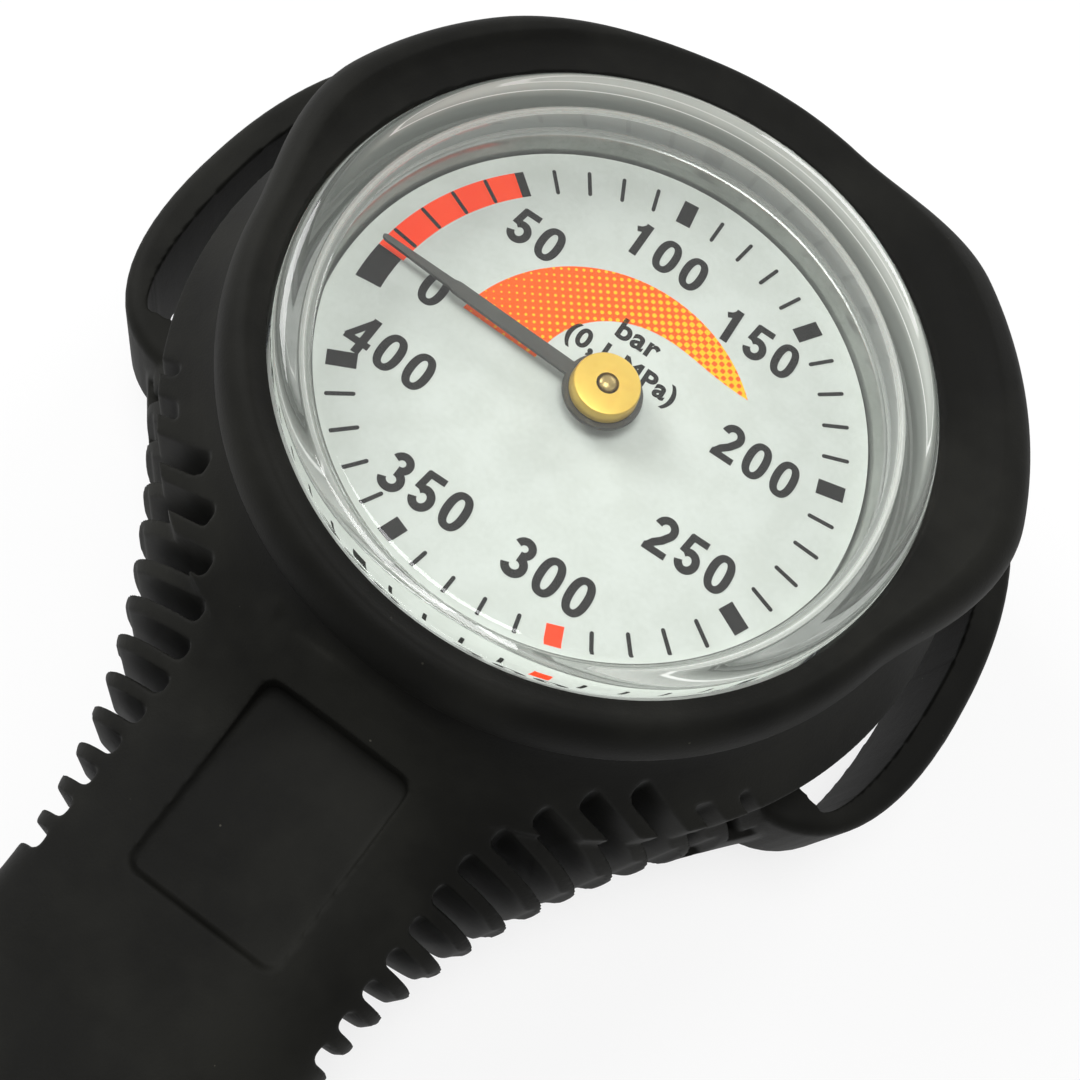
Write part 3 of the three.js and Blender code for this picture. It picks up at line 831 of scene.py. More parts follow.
def finished(
    name: str,
    blank: Blank,
    material: bpy.types.Material,
    replaces: Sequence[str] = (),
    body: Body = Body.GAUGE,
    sharp: float = 30.0,
) -> None:
    """Turns a blank into a piece of the gauge, in metres, riding on its body.

    Args:
        name: The piece's name.
        blank: Its shape, in millimetres.
        material: Its finish.
        replaces: CAD nodes it stands for.
        body: The body it moves with.
        sharp: Angle between faces, in degrees, over which an edge stays sharp.
    """
    bm = blank.bm
    bmesh.ops.transform(bm, matrix=Matrix.Scale(MM, 4), verts=bm.verts)
    for face in bm.faces:
        face.smooth = True
    for edge in bm.edges:
        if len(edge.link_faces) == 2 and edge.calc_face_angle(0.0) > math.radians(sharp):
            edge.smooth = False
    made = blank.rough(name)
    made.data.materials.append(material)
    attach(made, body.value)
    if replaces:
        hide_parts(*replaces)
    LOG.info("%s: %d faces on %s", name, len(made.data.polygons), body.value)


# ---- boot ----


@dataclass(frozen=True)
class LipForm:
    """Form of the lip in one direction round the dial: the crease under it, its crest and its section."""

    crease: float
    crease_z: float
    step: float
    ridge: float
    ridge_z: float
    squareness: float

    def toward(self, other: LipForm, share: float) -> LipForm:
        """Returns the form that lies a share of the way to another."""
        return LipForm(*(mix(a, b, share) for a, b in zip(astuple(self), astuple(other))))


NEAR_RING = LipForm(crease=31.4, crease_z=32.2, step=1.0, ridge=29.9, ridge_z=37.0, squareness=2.0)
LEFT_WING = LipForm(crease=35.0, crease_z=30.4, step=0.8, ridge=32.0, ridge_z=37.9, squareness=2.2)
RIGHT_WING = LipForm(crease=36.8, crease_z=31.0, step=0.8, ridge=33.3, ridge_z=38.4, squareness=2.4)
DIP = LipForm(crease=33.8, crease_z=31.0, step=0.0, ridge=32.2, ridge_z=37.2, squareness=2.2)


@dataclass(frozen=True)
class Arch:
    """Edge of a side loop in plan, closed inside the cup at a place along X.

    It runs from its near root over its crown to its far root, in two curves. Each curve has two pulls, which
    stand between its ends.
    """

    near: tuple[Point, Point, Point]
    crown: Point
    far: tuple[Point, Point, Point]
    inner: float
    tuck: float = 2.0

    def outline(self, side: int) -> list[Vector]:
        """Draws the outline on one side.

        Args:
            side: 1 or -1.

        Returns:
            Its points.
        """
        points = self.curve(*self.near, self.crown)[:-1] + self.curve(self.crown, *self.far)
        closing = (self.far[-1][1] - self.tuck, self.near[0][1] + self.tuck)
        points += [Vector((self.inner, y)) for y in closing]
        return [flat(side * p.x, p.y) for p in points]

    def curve(self, *control: Point, count: int = 18) -> list[Vector]:
        """Draws a cubic curve.

        Args:
            control: Its start, its two pulls and its end.
            count: Its steps.

        Returns:
            Its points.
        """
        a, b, c, d = (Vector(point) for point in control)
        made = []
        for i in range(count + 1):
            t = i / count
            u = 1 - t
            made.append(a * u**3 + b * (3 * u * u * t) + c * (3 * u * t * t) + d * t**3)
        return made


LOOP_BAND = Arch(
    near=((30.5, -17.8), (40.8, -19.2), (44.6, -10.0)),
    crown=(44.4, 3.0),
    far=((44.4, 12.0), (42.3, 26.0), (30.0, 31.0)),
    inner=19.0,
)
LOOP_SLOT = Arch(
    near=((37.5, -14.4), (39.6, -12.8), (41.1, -6.0)),
    crown=(41.1, 3.0),
    far=((41.1, 10.0), (39.6, 20.0), (31.0, 26.5)),
    inner=28.0,
)


@dataclass
class Boot:
    """Moulded rubber boot: cup, winged lip, ribbed handle, panel recess and side loops.

    back, wall and bore hold points of (radius, height): two stretches of the cup's outline, and the handle's bore
    from the inlet out. A pair is (right, left) on the lip, (near the cup, at the end) on the handle.
    """

    facets: int = 240
    back: Outline = ((31.6, 0), (33.2, 0.35), (34.3, 1.2), (35.1, 2.6), (35.6, 4.4), (36, 8), (36.4, 12))
    wall: Outline = ((36.75, 17.0), (36.95, 21.0), (37.0, 24.0))
    neck_power: float = 1.5
    crest_foot: float = 0.9
    funnel: Outline = ((0.1, 0.2), (0.3, 0.52), (0.6, 0.8), (0.85, 0.95))
    wing_start: float = -0.26
    wing_full: Point = (0.28, 0.24)
    dip_at: float = 93.0
    dip_reach: tuple[Point, Point] = ((12, 40), (14, 50))
    lip_bore: float = 28.5
    lip_inner_z: float = 36.4
    pocket: float = 31.3
    pocket_z: Point = (3, 30)
    pocket_corner: float = 1.8
    bore: Outline = ((0, 25), (8.5, 25), (8.5, 40), (7, 42), (7, 72), (6.1, 78), (6.1, 100), (0, 100))
    inlet_z: float = 10.8
    over: float = 45.0

    handle_sides: int = 96
    squareness: float = 2.9
    stations: int = 66
    station_pitch: float = 1.25
    handle_roots: Point = (-10.0, -14.0)
    handle_waist: float = -58.0
    handle_end: float = -98.0
    end_round: tuple[Point, ...] = ((1.4, 0.0), (0.4, 0.4), (0.0, 1.4))
    half_widths: Point = (15.5, 12.0)
    flare: float = 0.0212
    flare_power: float = 1.85
    undersides: Point = (0.8, 1.5)
    lowest_top: float = 19.2
    top: float = 22.4
    top_fall: float = 0.12
    top_knee: float = -36.0
    saddle: tuple[float, float, float] = (33.0, 45.0, 13.8)

    slots: int = 14
    scoops: tuple[float, ...] = (19.0, 15.0, 10.0)
    scoop_widths: tuple[float, ...] = (0.8, 1.0, 1.3)
    first_slot: float = -17.0
    slot_pitch: float = 2.9
    slot_width: float = 1.65
    slot_corner: float = 0.5
    slot_core: float = 32.5
    scoop_core: float = 35.2
    core_half: float = 13.5
    core_flare: float = 0.0385
    core_knee: float = -40.0

    panel_half: float = 7.2
    panel_span: Point = (-52.6, -35.0)
    panel_depth: float = 0.75
    panel_corner: float = 1.3
    loop_z: Point = (6.5, 19.0)
    loop_round: float = 1.4
    grain: float = 0.25
    kept: float = 0.13

    def form(self, angle: float) -> LipForm:
        """Finds the lip's form in one direction.

        Args:
            angle: Direction in radians.

        Returns:
            The form. The near ring runs into a wing on each side, and the wings into the far dip.
        """
        left = math.cos(angle) <= 0
        wing = smooth(math.sin(angle), self.wing_start, self.wing_full[left])
        dip = 1 - smooth(abs(math.degrees(angle) - self.dip_at), *self.dip_reach[left])
        return NEAR_RING.toward(LEFT_WING if left else RIGHT_WING, wing).toward(DIP, dip)

    def profile(self, angle: float) -> Outline:
        """Draws the cup's outer outline in one direction round the dial.

        Args:
            angle: Direction in radians.

        Returns:
            Points of (radius, height) from the back to the lens.
        """
        form = self.form(angle)
        waist, waist_z = self.wall[-1]
        profile = [*self.back, *self.wall]
        for i in range(1, 9):
            inward = 1 - (1 - i / 8) ** self.neck_power
            profile.append((mix(waist, form.crease, inward), mix(waist_z, form.crease_z, i / 8)))
        for degrees in range(0, 91, 9):
            turn = math.radians(degrees)
            out, up = (share ** (2 / form.squareness) for share in (math.cos(turn), math.sin(turn)))
            lip, lip_z = form.crease + form.step, form.crease_z + self.crest_foot
            profile.append((mix(form.ridge, lip, out), mix(lip_z, form.ridge_z, up)))
        for inward, down in self.funnel:
            height = mix(form.ridge_z, self.lip_inner_z, down)
            profile.append((mix(form.ridge, self.lip_bore, inward), height))
        return [*profile, (self.lip_bore - 0.3, self.lip_inner_z)]

    def cup(self) -> Blank:
        """Makes the cup round the capsule, still solid.

        Returns:
            The cup.
        """
        angles = [TURN * i / self.facets for i in range(self.facets)]
        stations = zip(*(self.profile(angle) for angle in angles))
        return Blank().loft([[self.about(p, angle) for p, angle in zip(ring, angles)] for ring in stations])

    def about(self, point: Point, angle: float) -> Vector:
        """Returns a point of (radius, height) in one direction round the dial's axis."""
        return Vector((point[0] * math.cos(angle), point[0] * math.sin(angle), point[1]))

    def section(self, y: float) -> tuple[float, float, float]:
        """Finds the handle's section.

        Args:
            y: Place along Y.

        Returns:
            Half width, lowest point and highest point.
        """
        beyond = max(0.0, self.handle_waist - y) / (self.handle_waist - self.handle_end)
        before = max(0.0, y - self.handle_waist)
        half = mix(*self.half_widths, smooth(beyond, 0, 1)) + self.flare * before**self.flare_power
        if y > self.first_slot:
            half = min(half, math.sqrt((self.wall[-1][0] - 1) ** 2 - y * y))
        high = max(self.lowest_top, self.top - self.top_fall * max(0.0, self.top_knee - y))
        return half, mix(*self.undersides, beyond), high

    def rise(self, x: float, y: float) -> float:
        """Finds how far the handle's top rises towards the cup.

        Args:
            x: Place along X.
            y: Place along Y.

        Returns:
            The rise, 0 away from the cup.
        """
        inner, outer, radius = self.saddle
        reach = max(0.0, outer - max(math.hypot(x, y), inner))
        return radius - math.sqrt(radius**2 - reach**2)

    def handle(self) -> Blank:
        """Makes the handle, still solid and without its slots.

        Returns:
            The handle.
        """
        root, start = self.handle_roots
        stops = [(root, 0.0)] + [(start - self.station_pitch * i, 0.0) for i in range(self.stations)]
        stops += [(self.handle_end + inside, shrink) for inside, shrink in self.end_round]
        return Blank().loft([self.ring(y, shrink) for y, shrink in stops])

    def ring(self, y: float, shrink: float) -> list[Vector]:
        """Draws the handle's outline at a place along it.

        Args:
            y: Place along Y.
            shrink: How far the outline is drawn in.

        Returns:
            Its points.
        """
        half, low, high = self.section(y)
        ring = []
        for i in range(self.handle_sides):
            out, level = squircle(TURN * i / self.handle_sides, 2 / self.squareness)
            x = (half - shrink) * out
            z = (low + high) / 2 + ((high - low) / 2 - shrink) * level
            ring.append(Vector((x, y, z + self.rise(x, y) * max(0.0, level))))
        return ring

    def rib_slots(self, chosen: range) -> Blank:
        """Makes cutters of slots between the ribs, on both sides.

        Args:
            chosen: Which slots, counted from the cup.

        Returns:
            The cutters as one blank.
        """
        cutters = Blank()
        for side in (1, -1):
            for i in chosen:
                scoop = i < len(self.scoops)
                low, width = (self.scoops[i], self.scoop_widths[i]) if scoop else (-1.0, self.slot_width)
                y = self.first_slot - i * self.slot_pitch
                cutters.prism(self.slot_plan(side, y, width / 2), low, self.over - 5)
        return cutters

    def slot_plan(self, side: int, y: float, half: float) -> list[Vector]:
        """Draws a slot's plan: round corners at the core, flared where the ribs' ends are rounded.

        Args:
            side: 1 or -1.
            y: Its middle along Y.
            half: Half its width.

        Returns:
            The outline.
        """
        core = self.core_half + self.core_flare * max(0.0, y - self.core_knee) ** 2
        flank = self.section(y)[0]
        rib = (self.slot_pitch - 2 * half) / 2
        corner = min(self.slot_corner, half)
        plan = []
        for way, turns in ((1, self.quarter(5)), (-1, self.quarter(5)[::-1])):
            for a in turns:
                x = core + corner * (1 - math.sin(a))
                plan.append(flat(x, y + way * (half - corner + corner * math.cos(a))))
        mouth = [(flank - rib + rib * math.sin(a), half + rib * (1 - math.cos(a))) for a in self.quarter(7)]
        mouth.append((flank + 6, half + rib))
        upper = [flat(x, y + w) for x, w in reversed(mouth)]
        lower = [flat(x, y - w) for x, w in mouth]
        outline = [flat(side * p.x, p.y) for p in upper + plan + lower]
        return outline if side > 0 else outline[::-1]

    def quarter(self, count: int) -> list[float]:
        """Returns this many angles over a quarter turn."""
        return [math.pi / 2 * i / (count - 1) for i in range(count)]

    def post(self, radius: float) -> Blank:
        """Makes a tall round cutter about the dial's axis."""
        return Blank().turn([(0, -2), (radius, -2), (radius, self.over), (0, self.over)], 144)

    def loop(self, side: int) -> Blank:
        """Makes one side loop, its outer edges rounded.

        Args:
            side: 1 or -1.

        Returns:
            The loop.
        """
        low, high = self.loop_z
        band = Blank().prism(LOOP_BAND.outline(side), low, high)
        band.bevel(self.loop_round, 5, lambda edge: abs(edge.verts[0].co.z - edge.verts[1].co.z) < 1e-3)
        return Mould(band).cut(Blank().prism(LOOP_SLOT.outline(side), low - 1, high + 1)).blank()

    def panel(self) -> Blank:
        """Makes the cutter of the bare recessed panel on top of the handle.

        Returns:
            The cutter.
        """
        near, far = self.panel_span
        corner = self.panel_corner
        outline = []
        for x, y, start in ((1, 1, 0), (-1, 1, 90), (-1, -1, 180), (1, -1, 270)):
            centre = flat(x * (self.panel_half - corner), y * ((far - near) / 2 - corner))
            outline += [centre + polar(corner, start + step) for step in range(0, 91, 15)]
        cutter = Blank().prism(outline, 0, 12)
        middle = (far + near) / 2
        place = Matrix.Translation((0, middle, self.section(middle)[2] - self.panel_depth))
        tilt = Matrix.Rotation(math.atan(self.top_fall), 4, "X")
        bmesh.ops.transform(cutter.bm, matrix=place @ tilt, verts=cutter.bm.verts)
        return cutter

    def build(self, finishes: Finishes) -> None:
        """Moulds the boot and dresses it.

        Args:
            finishes: The gauge's finishes.
        """
        mould = Mould(self.handle()).join(self.cup())
        first = len(self.scoops)
        for chosen, core in ((range(first), self.scoop_core), (range(first, self.slots), self.slot_core)):
            mould.cut(Mould(self.rib_slots(chosen)).cut(self.post(core)).blank())
        mould.join(self.loop(1)).join(self.loop(-1)).cut(self.panel())
        mould.skin(self.grain * (1), 2, self.kept * (1))
        floor, roof = self.pocket_z
        corner = self.pocket_corner
        pocket = [(0, floor), (self.pocket - corner, floor), (self.pocket, floor + corner)]
        pocket += [(self.pocket, roof), (self.lip_bore, roof), (self.lip_bore, self.over), (0, self.over)]
        mould.cut(Blank().turn(pocket, self.facets))
        mould.cut(Blank().turn(self.bore, 64, Vector((0, -1, 0)), Vector((0, 0, self.inlet_z))))
        finished("boot_skin", mould.blank(), finishes[Slot.RUBBER], ["boot"], sharp=100)


# ---- capsule ----


@dataclass
class Capsule:
    """Lens, dial ring and dial, each revolved from points of (radius, height)."""

    facets: int = 256
    lens_r: float = 28.2
    lens_top: float = 37.6
    lens_under: float = 33.6
    wall: float = 25.95
    wall_foot: float = 29.5
    edge: float = 1.6
    fillet: float = 1.4
    skirt: Outline = ((26.9, 29.5), (26.9, 23.8), (29.3, 23.8), (29.3, 24.4), (28.1, 24.4), (28.1, 26.0))
    flange: Outline = ((29.3, 26.0), (29.3, 26.6), (28.2, 26.6))
    ring_foot: Outline = ((24.3, 22.8), (29.3, 22.8), (29.3, 23.5), (26.6, 23.5), (26.6, 29.2), (25.95, 29.2))
    ring_top: Outline = ((25.8, 29.13), (25.72, 28.95), (25.6, 27.2), (25.6, 26.0), (24.3, 26.0))
    dial: Outline = ((1.6, 26.2), (25.3, 26.2), (25.3, 27.0), (1.6, 27.0))

    def lens(self) -> Blank:
        """Makes the clear lens.

        Returns:
            The lens.
        """
        under = (self.wall - self.fillet, self.lens_under - self.fillet)
        top = (self.lens_r - self.edge, self.lens_top - self.edge)
        outline = [(0, self.lens_under), *rounding(under, self.fillet, range(90, -1, -10))]
        outline += [(self.wall, self.wall_foot), *self.skirt, *self.flange]
        outline += [*rounding(top, self.edge, range(0, 91, 9)), (0, self.lens_top)]
        return Blank().turn(outline, self.facets)

    def build(self, finishes: Finishes) -> None:
        """Makes the capsule's visible pieces.

        Args:
            finishes: The gauge's finishes.
        """
        ring = Blank().turn([*self.ring_foot, *self.ring_top], self.facets)
        plate = Blank().turn(self.dial, self.facets)
        finished("lens_clear", self.lens(), finishes[Slot.LENS], ["lens"])
        finished("dial_ring_grey", ring, finishes[Slot.RING], ["dial_ring"], sharp=25)
        finished("dial_face", plate, finishes[Slot.DIAL], ["dial_plate"], sharp=25)


@dataclass
class Numerals:
    """Bold plain figures, each drawn with a few pen strokes in a box one unit high."""

    stem: float = 0.2
    bar: float = 0.17
    width: float = 0.62
    advance: float = 0.775
    oval_power: float = 0.86

    def bow(self, centre: Point, reach: Point, start: float, end: float) -> list[Vector]:
        """Draws an elliptic arc.

        Args:
            centre: Its middle.
            reach: Its half width and half height.
            start: Direction it starts at, in degrees.
            end: Direction it ends at.

        Returns:
            Its points.
        """
        steps = max(6, int(abs(end - start) / 12))
        turns = [math.radians(mix(start, end, i / steps)) for i in range(steps + 1)]
        return [flat(centre[0] + reach[0] * math.cos(t), centre[1] + reach[1] * math.sin(t)) for t in turns]

    def line(self, *points: Point) -> list[Vector]:
        """Returns points as vectors."""
        return [flat(x, y) for x, y in points]

    def strokes(self, figure: str) -> list[tuple[list[Vector], float]]:
        """Draws a figure other than nought.

        Args:
            figure: The figure.

        Returns:
            Its pen strokes, each with its width.
        """
        stem, bar = self.stem, self.bar
        swan = self.bow((0.31, 0.7), (0.205, 0.215), 175, -30)
        swan += self.line((0.36, 0.4), (0.21, 0.26), (0.12, 0.1))
        return {
            "1": [
                (self.line((0.33, 0), (0.33, 1)), stem),
                (self.line((0.09, 0.72), (0.22, 0.79), (0.32, 0.93)), bar * 0.9),
            ],
            "2": [
                (swan, stem * 0.95),
                (self.line((0.02, 0.085), (0.61, 0.085)), bar),
            ],
            "3": [
                (self.bow((0.3, 0.735), (0.185, 0.18), 165, -95), stem * 0.93),
                (self.bow((0.3, 0.29), (0.215, 0.205), 95, -168), stem * 0.97),
            ],
            "4": [
                (self.line((0.44, 0), (0.44, 1)), stem),
                (self.line((0.0, 0.29), (0.64, 0.29)), bar),
                (self.line((0.045, 0.27), (0.43, 0.94)), bar * 0.95),
            ],
            "5": [
                (self.bow((0.305, 0.315), (0.205, 0.23), 140, -165), stem * 0.97),
                (self.line((0.12, 0.915), (0.57, 0.915)), bar),
                (self.line((0.175, 0.97), (0.105, 0.47)), bar),
            ],
        }[figure]

    def ribbon(self, path: list[Vector], width: float) -> list[Vector]:
        """Draws the outline of a pen stroke.

        Args:
            path: The pen's path.
            width: The stroke's width.

        Returns:
            The outline.
        """
        left, right = [], []
        for i, point in enumerate(path):
            way = (path[min(i + 1, len(path) - 1)] - path[max(i - 1, 0)]).normalized()
            across = flat(-way.y, way.x) * (width / 2)
            left.append(point + across)
            right.append(point - across)
        return left + right[::-1]

    def oval(self, shrink: float) -> list[Vector]:
        """Draws the outline of a nought, or of its counter.

        Args:
            shrink: How far it is drawn in.

        Returns:
            The outline.
        """
        middle = self.width / 2
        made = []
        for i in range(48):
            out, up = squircle(TURN * i / 48, self.oval_power)
            made.append(flat(middle + (middle - shrink) * out, 0.5 + (0.5 - shrink * 0.85) * up))
        return made

    def figure(self, character: str) -> bpy.types.Mesh:
        """Makes one figure.

        Args:
            character: The figure.

        Returns:
            A slab one unit high and one unit thick.
        """
        if character == "0":
            counter = Blank().prism(self.oval(self.stem), -1, 2)
            return Mould(Blank().prism(self.oval(0), 0, 1)).cut(counter).mesh()
        first, *others = (Blank().prism(self.ribbon(*stroke), 0, 1) for stroke in self.strokes(character))
        mould = Mould(first)
        for stroke in others:
            mould.join(stroke)
        return mould.mesh()


@dataclass
class DialPrint:
    """Everything printed on the dial, as thin layers of ink."""

    height: float = 27.0
    layer: float = 0.02
    outer: float = 23.5
    inner: float = 20.9
    zero: float = 184.13
    per_bar: float = 0.8329
    zero_block: Point = (190.4, 181.0)
    top: int = 400
    full: int = 300
    minor: int = 10
    major: int = 50
    red_end: int = 49
    mark_widths: tuple[float, float, float] = (0.36, 0.85, 1.45)
    full_width: float = 1.5
    text_turn: float = 3.3
    tall: float = 3.76
    bold: float = 0.09
    capital: float = 0.73
    spacing: float = 1.08
    crescent_span: Point = (182.0, 41.0)
    crescent_outer: tuple[float, float, float, float] = (13.2, 0.95, 107.0, 72.0)
    crescent_inner: tuple[float, float, float] = (6.6, 4.6, 2.8)
    crescent_powers: Point = (1.5, 14)

    def direction(self, bar: float) -> float:
        """Returns the direction of a pressure on the scale, in degrees."""
        return self.zero - self.per_bar * bar

    def lay(self, blank: Blank, outline: list[Vector], level: int) -> Blank:
        """Lays a patch of ink, one or two layers thick."""
        return blank.prism(outline, self.height, self.height + self.layer * level)

    def sector(self, blank: Blank, inner: float, start: float, end: float, level: int) -> None:
        """Lays an arc-shaped patch of ink that reaches to the scale's outer edge.

        Args:
            blank: The ink so far.
            inner: Its inner radius.
            start: Direction it starts at, in degrees.
            end: Direction it ends at.
            level: Layers of ink.
        """
        steps = max(2, int(abs(end - start) / 1.5))
        turns = [mix(start, end, i / steps) for i in range(steps + 1)]
        outline = [polar(self.outer, t) for t in turns] + [polar(inner, t) for t in reversed(turns)]
        self.lay(blank, outline, level)

    def mark(self, blank: Blank, bar: float, width: float, level: int, rounded: bool = False) -> None:
        """Lays one mark of the scale.

        Args:
            blank: The ink so far.
            bar: The pressure it stands for.
            width: Its width.
            level: Layers of ink.
            rounded: Whether its ends are round.
        """
        along = polar(1, self.direction(bar))
        across = flat(-along.y, along.x) * (width / 2)
        corners = [along * self.inner - across, along * self.outer - across]
        corners += [along * self.outer + across, along * self.inner + across]
        if rounded:
            corners = []
            for reach, way in ((self.outer - width / 2, 1), (self.inner + width / 2, -1)):
                for step in range(-90, 91, 30):
                    c, s = math.cos(math.radians(step)), math.sin(math.radians(step))
                    corners.append(along * reach + way * (along * (c * width / 2) + across * s))
        self.lay(blank, corners, level)

    def place(self, blank: Blank, at: Vector) -> Blank:
        """Turns printed characters upright to the dial and moves them to their place.

        Args:
            blank: Their ink.
            at: Their middle on the dial.

        Returns:
            The blank.
        """
        turn = Matrix.Rotation(math.radians(self.text_turn), 4, "Z")
        matrix = Matrix.Translation((at.x, at.y, self.height)) @ turn
        bmesh.ops.transform(blank.bm, matrix=matrix, verts=blank.bm.verts)
        return blank

    def number(self, numerals: Numerals, figures: dict[str, bpy.types.Mesh], value: int, at: Vector) -> Blank:
        """Sets a number.

        Args:
            numerals: The figures' measures.
            figures: The figures themselves.
            value: The number.
            at: Its middle on the dial.

        Returns:
            Its ink.
        """
        blank = Blank()
        width = numerals.width + numerals.advance * (len(str(value)) - 1)
        for i, character in enumerate(str(value)):
            before = len(blank.bm.verts)
            blank.bm.from_mesh(figures[character])
            blank.bm.verts.ensure_lookup_table()
            added = blank.bm.verts[before:]
            bmesh.ops.translate(blank.bm, verts=added, vec=(i * numerals.advance - width / 2, -0.5, 0))
        bmesh.ops.scale(blank.bm, verts=blank.bm.verts, vec=(self.tall, self.tall, 2 * self.layer))
        return self.place(blank, at)

    def words(self, body: str, at: Vector, size: float) -> Blank:
        """Sets a word.

        Args:
            body: The characters.
            at: Its middle on the dial.
            size: Height of a capital.

        Returns:
            Its ink.
        """
        text = bpy.data.curves.new("characters", "FONT")
        text.body = body
        text.size = size / self.capital
        text.align_x, text.align_y = "CENTER", "CENTER"
        text.offset = self.bold
        text.extrude = self.layer
        text.space_character = self.spacing
        scratch = stand("characters", text)
        blank = Blank()
        blank.bm.from_mesh(result(scratch))
        bpy.data.objects.remove(scratch)
        return self.place(blank, at)

    def scale(self) -> Blank:
        """Prints the black marks of the scale.

        Returns:
            Their ink.
        """
        ink = Blank()
        minor, narrow, major = self.mark_widths
        for bar in range(self.minor, self.top + 1, self.minor):
            if bar % self.major:
                self.mark(ink, bar, minor, 2, rounded=True)
            elif bar != self.full:
                self.mark(ink, bar, narrow if bar == self.major else major, 2)
        self.sector(ink, self.inner + 0.2, *self.zero_block, 2)
        return ink

    def red(self) -> Blank:
        """Prints the red band at the low end and the red mark of the full pressure.

        Returns:
            Their ink.
        """
        ink = Blank()
        self.sector(ink, self.inner, self.zero_block[1] - 0.1, self.direction(self.red_end), 1)
        self.mark(ink, self.full, self.full_width, 1)
        return ink

    def crescent(self) -> Blank:
        """Prints the crescent.

        Returns:
            Its ink.
        """
        radius, swell, middle, spread = self.crescent_outer
        root, widen, close = self.crescent_inner
        early, late = self.crescent_powers
        outer, inner = [], []
        for i in range(61):
            t = i / 60
            turn = mix(*self.crescent_span, t)
            outer.append(polar(radius + ((turn - middle) / spread) ** 2 * swell, turn))
            inner.append(polar(root + widen * t**early + close * t**late, turn))
        return self.lay(Blank(), outer + inner[-2::-1], 1)

    def build(self, finishes: Finishes) -> None:
        """Prints the dial.

        Args:
            finishes: The gauge's finishes.
        """
        inks = {
            "dial_scale_ink": (self.scale(), finishes.ink),
            "dial_red_ink": (self.red(), finishes.red),
            "dial_crescent_ink": (self.crescent(), finishes.crescent),
        }
        middles = {
            0: (-17.21, -0.67),
            50: (-13.55, 9.96),
            100: (-3.16, 16.56),
            150: (8.29, 14.78),
            200: (14.34, 4.62),
            250: (14.31, -6.68),
            300: (5.85, -16.05),
            350: (-6.40, -16.49),
            400: (-16.33, -8.25),
        }
        numerals = Numerals()
        figures = {character: numerals.figure(character) for character in "012345"}
        for bar, at in middles.items():
            inks[f"dial_figure_{bar}"] = (self.number(numerals, figures, bar, flat(*at)), finishes.ink)
        inks["dial_unit"] = (self.words("bar", flat(-0.51, 7.46), 2.2), finishes.ink)
        inks["dial_unit_si"] = (self.words("(0,1 MPa)", flat(-0.3, 4.4), 2.0), finishes.ink)
        for name, (ink, finish) in inks.items():
            finished(name, ink, finish, sharp=25)


# ---- pointer ----


@dataclass
class PointerSet:
    """Pointer, its brass hub and the domed end of its arbor."""

    rest: float = 181.1
    facets: int = 96
    boss: Point = (28.4, 28.9)
    hub: Point = (29.0, 30.4)
    blade: Outline = ((2.0, 0.7), (15.4, 0.6), (16.0, 0.44), (22.9, 0.26), (23.2, 0.1))
    arbor_r: float = 0.8
    arbor_foot: float = 17.0
    arbor_top: float = 30.7
    dome: float = 0.35

    def pointer(self) -> Blank:
        """Makes the boss and the tapering blade on it.

        Returns:
            The pointer.
        """
        low, high = self.boss
        outline = [(1, low), (3.3, low), (3.5, low + 0.06), (3.6, low + 0.16)]
        outline += [(3.6, high - 0.1), (3.52, high), (1, high)]
        mould = Mould(Blank().turn(outline, self.facets))
        plan = [flat(x, -w) for x, w in self.blade] + [flat(x, w) for x, w in reversed(self.blade)]
        blade = Blank().prism(plan, low + 0.1, high)
        turn = Matrix.Rotation(math.radians(self.rest), 3, "Z")
        bmesh.ops.rotate(blade.bm, matrix=turn, verts=blade.bm.verts)
        return mould.join(blade).blank()

    def cap(self) -> Blank:
        """Makes the hub, its upper edge rounded.

        Returns:
            The hub.
        """
        low, high = self.hub
        outline = [(1, low), (3.08, low), (3.1, low + 0.1), (3.0, high - 0.3), (2.95, high - 0.1)]
        return Blank().turn([*outline, (2.88, high - 0.02), (2.8, high), (1.0, high)], self.facets)

    def arbor(self) -> Blank:
        """Makes the arbor with its domed end.

        Returns:
            The arbor.
        """
        shoulder = self.arbor_top - self.dome
        outline = [(0, self.arbor_foot), (self.arbor_r, self.arbor_foot)]
        for degrees in range(0, 90, 15):
            p = polar(self.arbor_r, degrees)
            outline.append((p.x, shoulder + p.y * self.dome / self.arbor_r))
        return Blank().turn([*outline, (0, self.arbor_top)], self.facets // 2)

    def build(self, finishes: Finishes) -> None:
        """Makes the pointer's visible pieces.

        Args:
            finishes: The gauge's finishes.
        """
        body = Body.POINTER
        finished("pointer_blade", self.pointer(), finishes[Slot.POINTER], ["pointer"], body)
        finished("pointer_hub_brass", self.cap(), finishes.hub, ["pointer_hub"], body)
        finished("pointer_arbor_steel", self.arbor(), finishes.arbor, ["pointer_arbor"], body, 40)


# ---- movement ----


@dataclass
class Movement:
    """Pieces that keep their CAD shape and only take a finish."""

    subparts: list[dict]

    def dress(self, nodes: dict[str, bpy.types.Object], finishes: Finishes) -> None:
        """Gives each node its finish.

        Args:
            nodes: The frame's nodes by name.
            finishes: The gauge's finishes.
        """
        slots = {entry["node"]: Slot(entry["material_slot"]) for entry in self.subparts}
        for name, node in nodes.items():
            node.data.materials.clear()
            node.data.materials.append(finishes[slots[name]])


# ---- studio ----


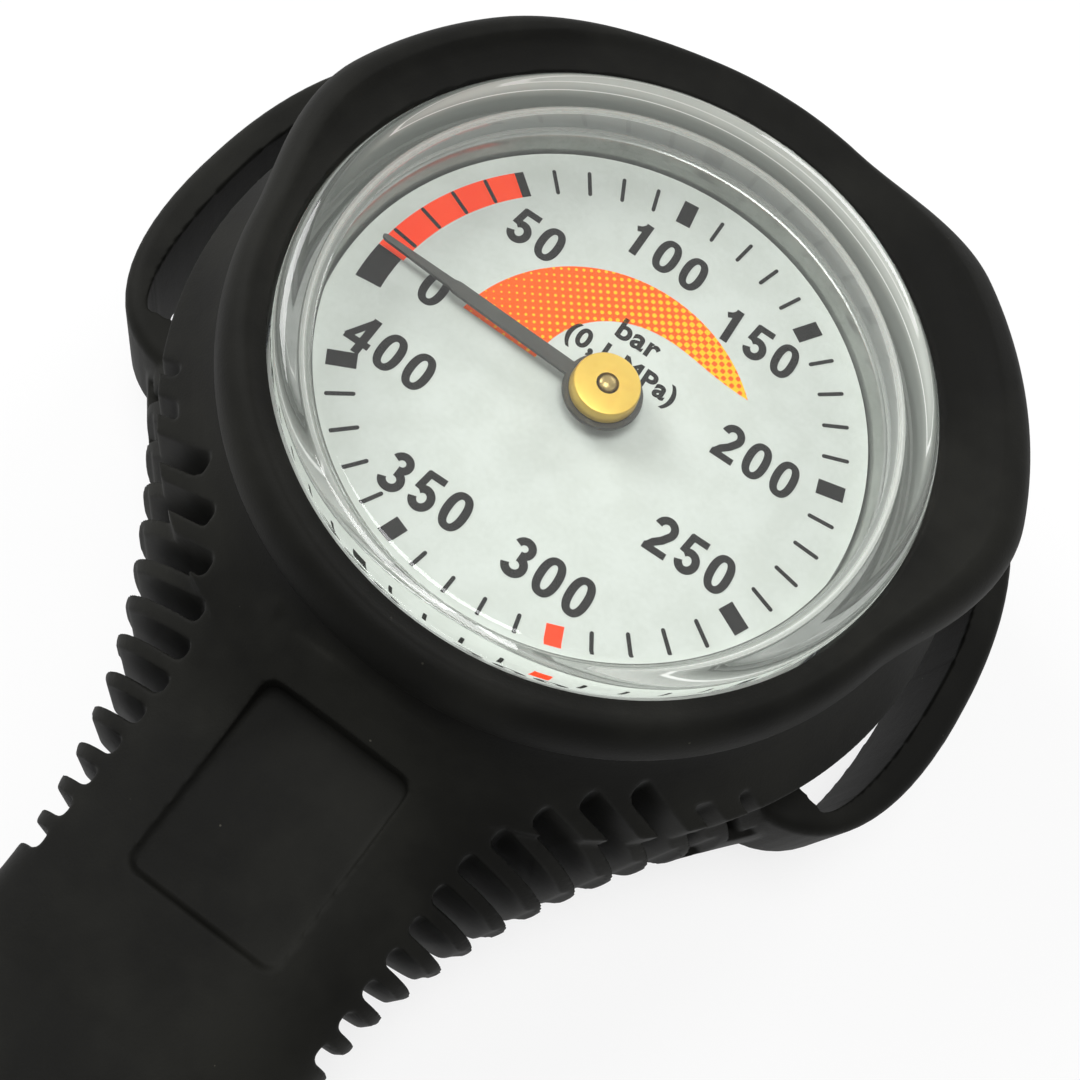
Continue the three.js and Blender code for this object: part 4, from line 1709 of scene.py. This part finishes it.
@dataclass(frozen=True)
class Lamp:
    """A soft square lamp that points at the gauge. Its place and size are in metres."""

    name: str
    at: tuple[float, float, float]
    size: float
    watts: float
    aim: tuple[float, float, float] = (0, -0.02, 0.02)

    def hang(self) -> None:
        """Hangs the lamp."""
        data = bpy.data.lights.new(self.name, "AREA")
        data.shape = "SQUARE"
        data.size = self.size
        data.energy = self.watts
        turn = (Vector(self.aim) - Vector(self.at)).to_track_quat("-Z", "Y").to_matrix().to_4x4()
        stand(self.name, data).matrix_world = Matrix.Translation(self.at) @ turn


LAMPS = (
    Lamp("top_lamp", (-0.1, -0.05, 0.97), 0.4, 4.3),
    Lamp("left_lamp", (-0.85, 0.1, 0.55), 0.5, 6.0),
    Lamp("right_lamp", (0.85, 0.25, 0.5), 0.5, 0.8),
    Lamp("far_lamp", (0.1, 0.95, 0.42), 0.4, 3.0),
)


@dataclass
class Studio:
    """Floor, room and camera. The camera's place is in millimetres, as the gauge's is."""

    eye: Vector = Vector((6.842, -59.116, 130.651))
    aim: Vector = Vector((3.221, -11.107, 27.0))
    roll: float = 32.7416
    lens: float = 45.089
    sensor: float = 36.0
    shift: Point = (-0.0117, -0.01782)
    clip: Point = (0.001, 20.0)
    floor_half: float = 3
    ambient: float = 0.3
    shine: float = 0.2

    def camera(self) -> None:
        """Places the camera where the photograph was taken from."""
        data = bpy.data.cameras.new("camera")
        data.lens, data.sensor_width = self.lens, self.sensor
        data.shift_x, data.shift_y = self.shift
        data.clip_start, data.clip_end = self.clip
        turn = (self.aim - self.eye).to_track_quat("-Z", "Y").to_matrix().to_4x4()
        roll = Matrix.Rotation(math.radians(self.roll), 4, "Z")
        made = stand("camera", data)
        made.matrix_world = Matrix.Translation(self.eye * MM) @ turn @ roll
        bpy.context.scene.camera = made

    def room(self) -> None:
        """Lights the room evenly, and shows it white to the eye and through glass and pale in gloss."""
        bench = Bench(bpy.data.worlds.new("room"))
        strength = bench.seen(self.shine) * (1 - self.ambient) + self.ambient
        light = bench.node("ShaderNodeBackground", Color=WHITE, Strength=strength)
        bench.node("ShaderNodeOutputWorld", Surface=light.outputs[0])
        bpy.context.scene.world = bench.owner

    def build(self) -> None:
        """Sets up the studio."""
        self.camera()
        blank = Blank()
        bmesh.ops.create_grid(blank.bm, x_segments=1, y_segments=1, size=self.floor_half)
        floor = blank.rough("floor")
        floor.data.materials.append(PaleFloor().make())
        for lamp in LAMPS:
            lamp.hang()
        self.room()
        bpy.context.scene.view_settings.view_transform = "Standard"


def main() -> None:
    """Builds the gauge round its frame."""
    logging.basicConfig(level=logging.INFO, format="%(name)s %(message)s")
    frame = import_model()
    Studio().build()
    finishes = Finishes()
    Movement(frame["record"]["subparts"]).dress(frame["nodes"], finishes)
    for part in (Boot(), Capsule(), DialPrint(), PointerSet()):
        part.build(finishes)


if __name__ == "__main__":
    main()
